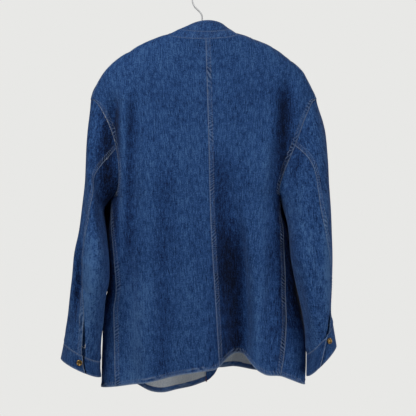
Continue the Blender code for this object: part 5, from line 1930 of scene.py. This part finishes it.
class JACKET_OT_hanger(bpy.types.Operator):
    """Build the hanger's arms and its wire hook"""

    bl_idname = "jacket.hanger"
    bl_label = "Hanger"

    def execute(self, context):
        hardware = context.scene.jacket_hardware
        middle = np.array([[0.0, -ARM_MIDDLE_DROP]])
        arms = np.concatenate([arm_path("left")[::-1], middle, arm_path("right")])
        plastic = hanger_plastic(hardware)
        add_bar("hanger_arms", "moulded", arms, ARM_STEPS, hardware.arm_radius, ARM_SIDES, plastic)
        angles = np.radians(np.linspace(HOOK_TIP_ANGLE, HOOK_LEAVE_ANGLE, HOOK_KNOTS))
        bend = HOOK_LOOP * np.stack([np.cos(angles), np.sin(angles)], axis=-1)
        loop = bend - np.array([0.0, HOOK_LOOP - HOOK_WIRE])
        foot = middle + np.array([0.0, ARM_RADIUS + SEAM_GAP])
        hook = np.concatenate([loop, np.array(HOOK_NECK), foot])
        steel = steel_with_painted_reflection(hardware)
        add_bar("hanger_hook", "wire", hook, HOOK_STEPS, hardware.hook_wire, HOOK_SIDES, steel)
        return {"FINISHED"}


def area_light(name, place, target, size, power):
    """A soft rectangular light aimed at a target."""
    lamp = bpy.data.lights.new(name, "AREA")
    lamp.shape = "RECTANGLE"
    lamp.size, lamp.size_y = size
    lamp.energy = power
    light = bpy.data.objects.new(name, lamp)
    light.location = place
    light.rotation_euler = (Vector(target) - Vector(place)).to_track_quat("-Z", "Y").to_euler()
    bpy.context.scene.collection.objects.link(light)


def add_floor(stage):
    """A plain round floor well below the jacket."""
    shape = bmesh.new()
    bmesh.ops.create_circle(shape, cap_ends=True, segments=FLOOR_SIDES, radius=FLOOR_RADIUS)
    bmesh.ops.translate(shape, vec=(0.0, 0.0, -FLOOR_DROP), verts=list(shape.verts))
    mesh = bpy.data.meshes.new("floor")
    shape.to_mesh(mesh)
    shape.free()
    mesh.materials.append(matt_paint(stage))
    floor = bpy.data.objects.new("floor", mesh)
    bpy.context.scene.collection.objects.link(floor)


def add_surroundings(scene, stage):
    """A pale backdrop for the camera that lights the jacket only weakly."""
    world = bpy.data.worlds.new("surroundings")
    world.use_nodes = True
    tree = world.node_tree
    seen = add_node(tree, "ShaderNodeLightPath").outputs["Is Camera Ray"]
    backdrop = add_node(tree, "ShaderNodeBackground", {"Color": opaque(stage.backdrop), "Strength": 1.0})
    fill = tree.nodes["Background"]
    fill.inputs["Color"].default_value = opaque(stage.backdrop)
    fill.inputs["Strength"].default_value = stage.fill
    mixed = add_node(tree, "ShaderNodeMixShader", {0: seen, 1: fill.outputs[0], 2: backdrop.outputs[0]})
    tree.links.new(mixed.outputs[0], tree.nodes["World Output"].inputs["Surface"])
    scene.world = world


def add_camera(scene):
    """The photo's view, square to the jacket's back."""
    lens = bpy.data.cameras.new("camera")
    lens.lens = CAMERA_LENS
    lens.sensor_width = CAMERA_SENSOR
    camera = bpy.data.objects.new("camera", lens)
    camera.location = CAMERA_PLACE
    camera.rotation_euler = (math.pi / 2.0, 0.0, 0.0)
    scene.collection.objects.link(camera)
    scene.camera = camera


class JACKET_OT_stage(bpy.types.Operator):
    """Build the floor, the soft light and the camera"""

    bl_idname = "jacket.stage"
    bl_label = "Stage"

    def execute(self, context):
        scene = context.scene
        stage = scene.jacket_stage
        add_floor(stage)
        area_light("key_light", KEY_PLACE, KEY_TARGET, KEY_SIZE, stage.key_power)
        area_light("side_light", SIDE_PLACE, KEY_TARGET, SIDE_SIZE, stage.side_power)
        area_light("back_light", RIM_PLACE, KEY_TARGET, RIM_SIZE, stage.rim_power)
        add_surroundings(scene, stage)
        add_camera(scene)
        scene.view_settings.view_transform = "Standard"
        return {"FINISHED"}


class JACKET_PT_sidebar(bpy.types.Panel):
    """Lists the sizes, colours and steps of the jacket"""

    bl_idname = "JACKET_PT_sidebar"
    bl_label = "Denim coverall jacket"
    bl_space_type = "VIEW_3D"
    bl_region_type = "UI"
    bl_category = "Jacket"

    def draw(self, context):
        for name in GROUPS:
            group = getattr(context.scene, name)
            box = self.layout.box()
            for setting in group.__annotations__:
                box.prop(group, setting)
        for operator in STEPS:
            self.layout.operator(operator.bl_idname)


GROUPS = {"jacket_cloth": JacketCloth, "jacket_hardware": JacketHardware, "jacket_stage": JacketStage}
STEPS = (
    JACKET_OT_hanger,
    JACKET_OT_body,
    JACKET_OT_sleeves,
    JACKET_OT_collar,
    JACKET_OT_buttons,
    JACKET_OT_stage,
)


def register():
    """Register the classes and put their settings on the scene."""
    for kind in (*GROUPS.values(), *STEPS, JACKET_PT_sidebar):
        bpy.utils.register_class(kind)
    for name, kind in GROUPS.items():
        setattr(bpy.types.Scene, name, PointerProperty(type=kind))


def unregister():
    """Take the settings and the classes away again."""
    for name in GROUPS:
        delattr(bpy.types.Scene, name)
    for kind in reversed((*GROUPS.values(), *STEPS, JACKET_PT_sidebar)):
        bpy.utils.unregister_class(kind)


def main():
    """Build everything in order."""
    register()
    bpy.ops.jacket.hanger()
    bpy.ops.jacket.body()
    bpy.ops.jacket.sleeves()
    bpy.ops.jacket.collar()
    bpy.ops.jacket.buttons()
    bpy.ops.jacket.stage()


if __name__ == "__main__":
    main()
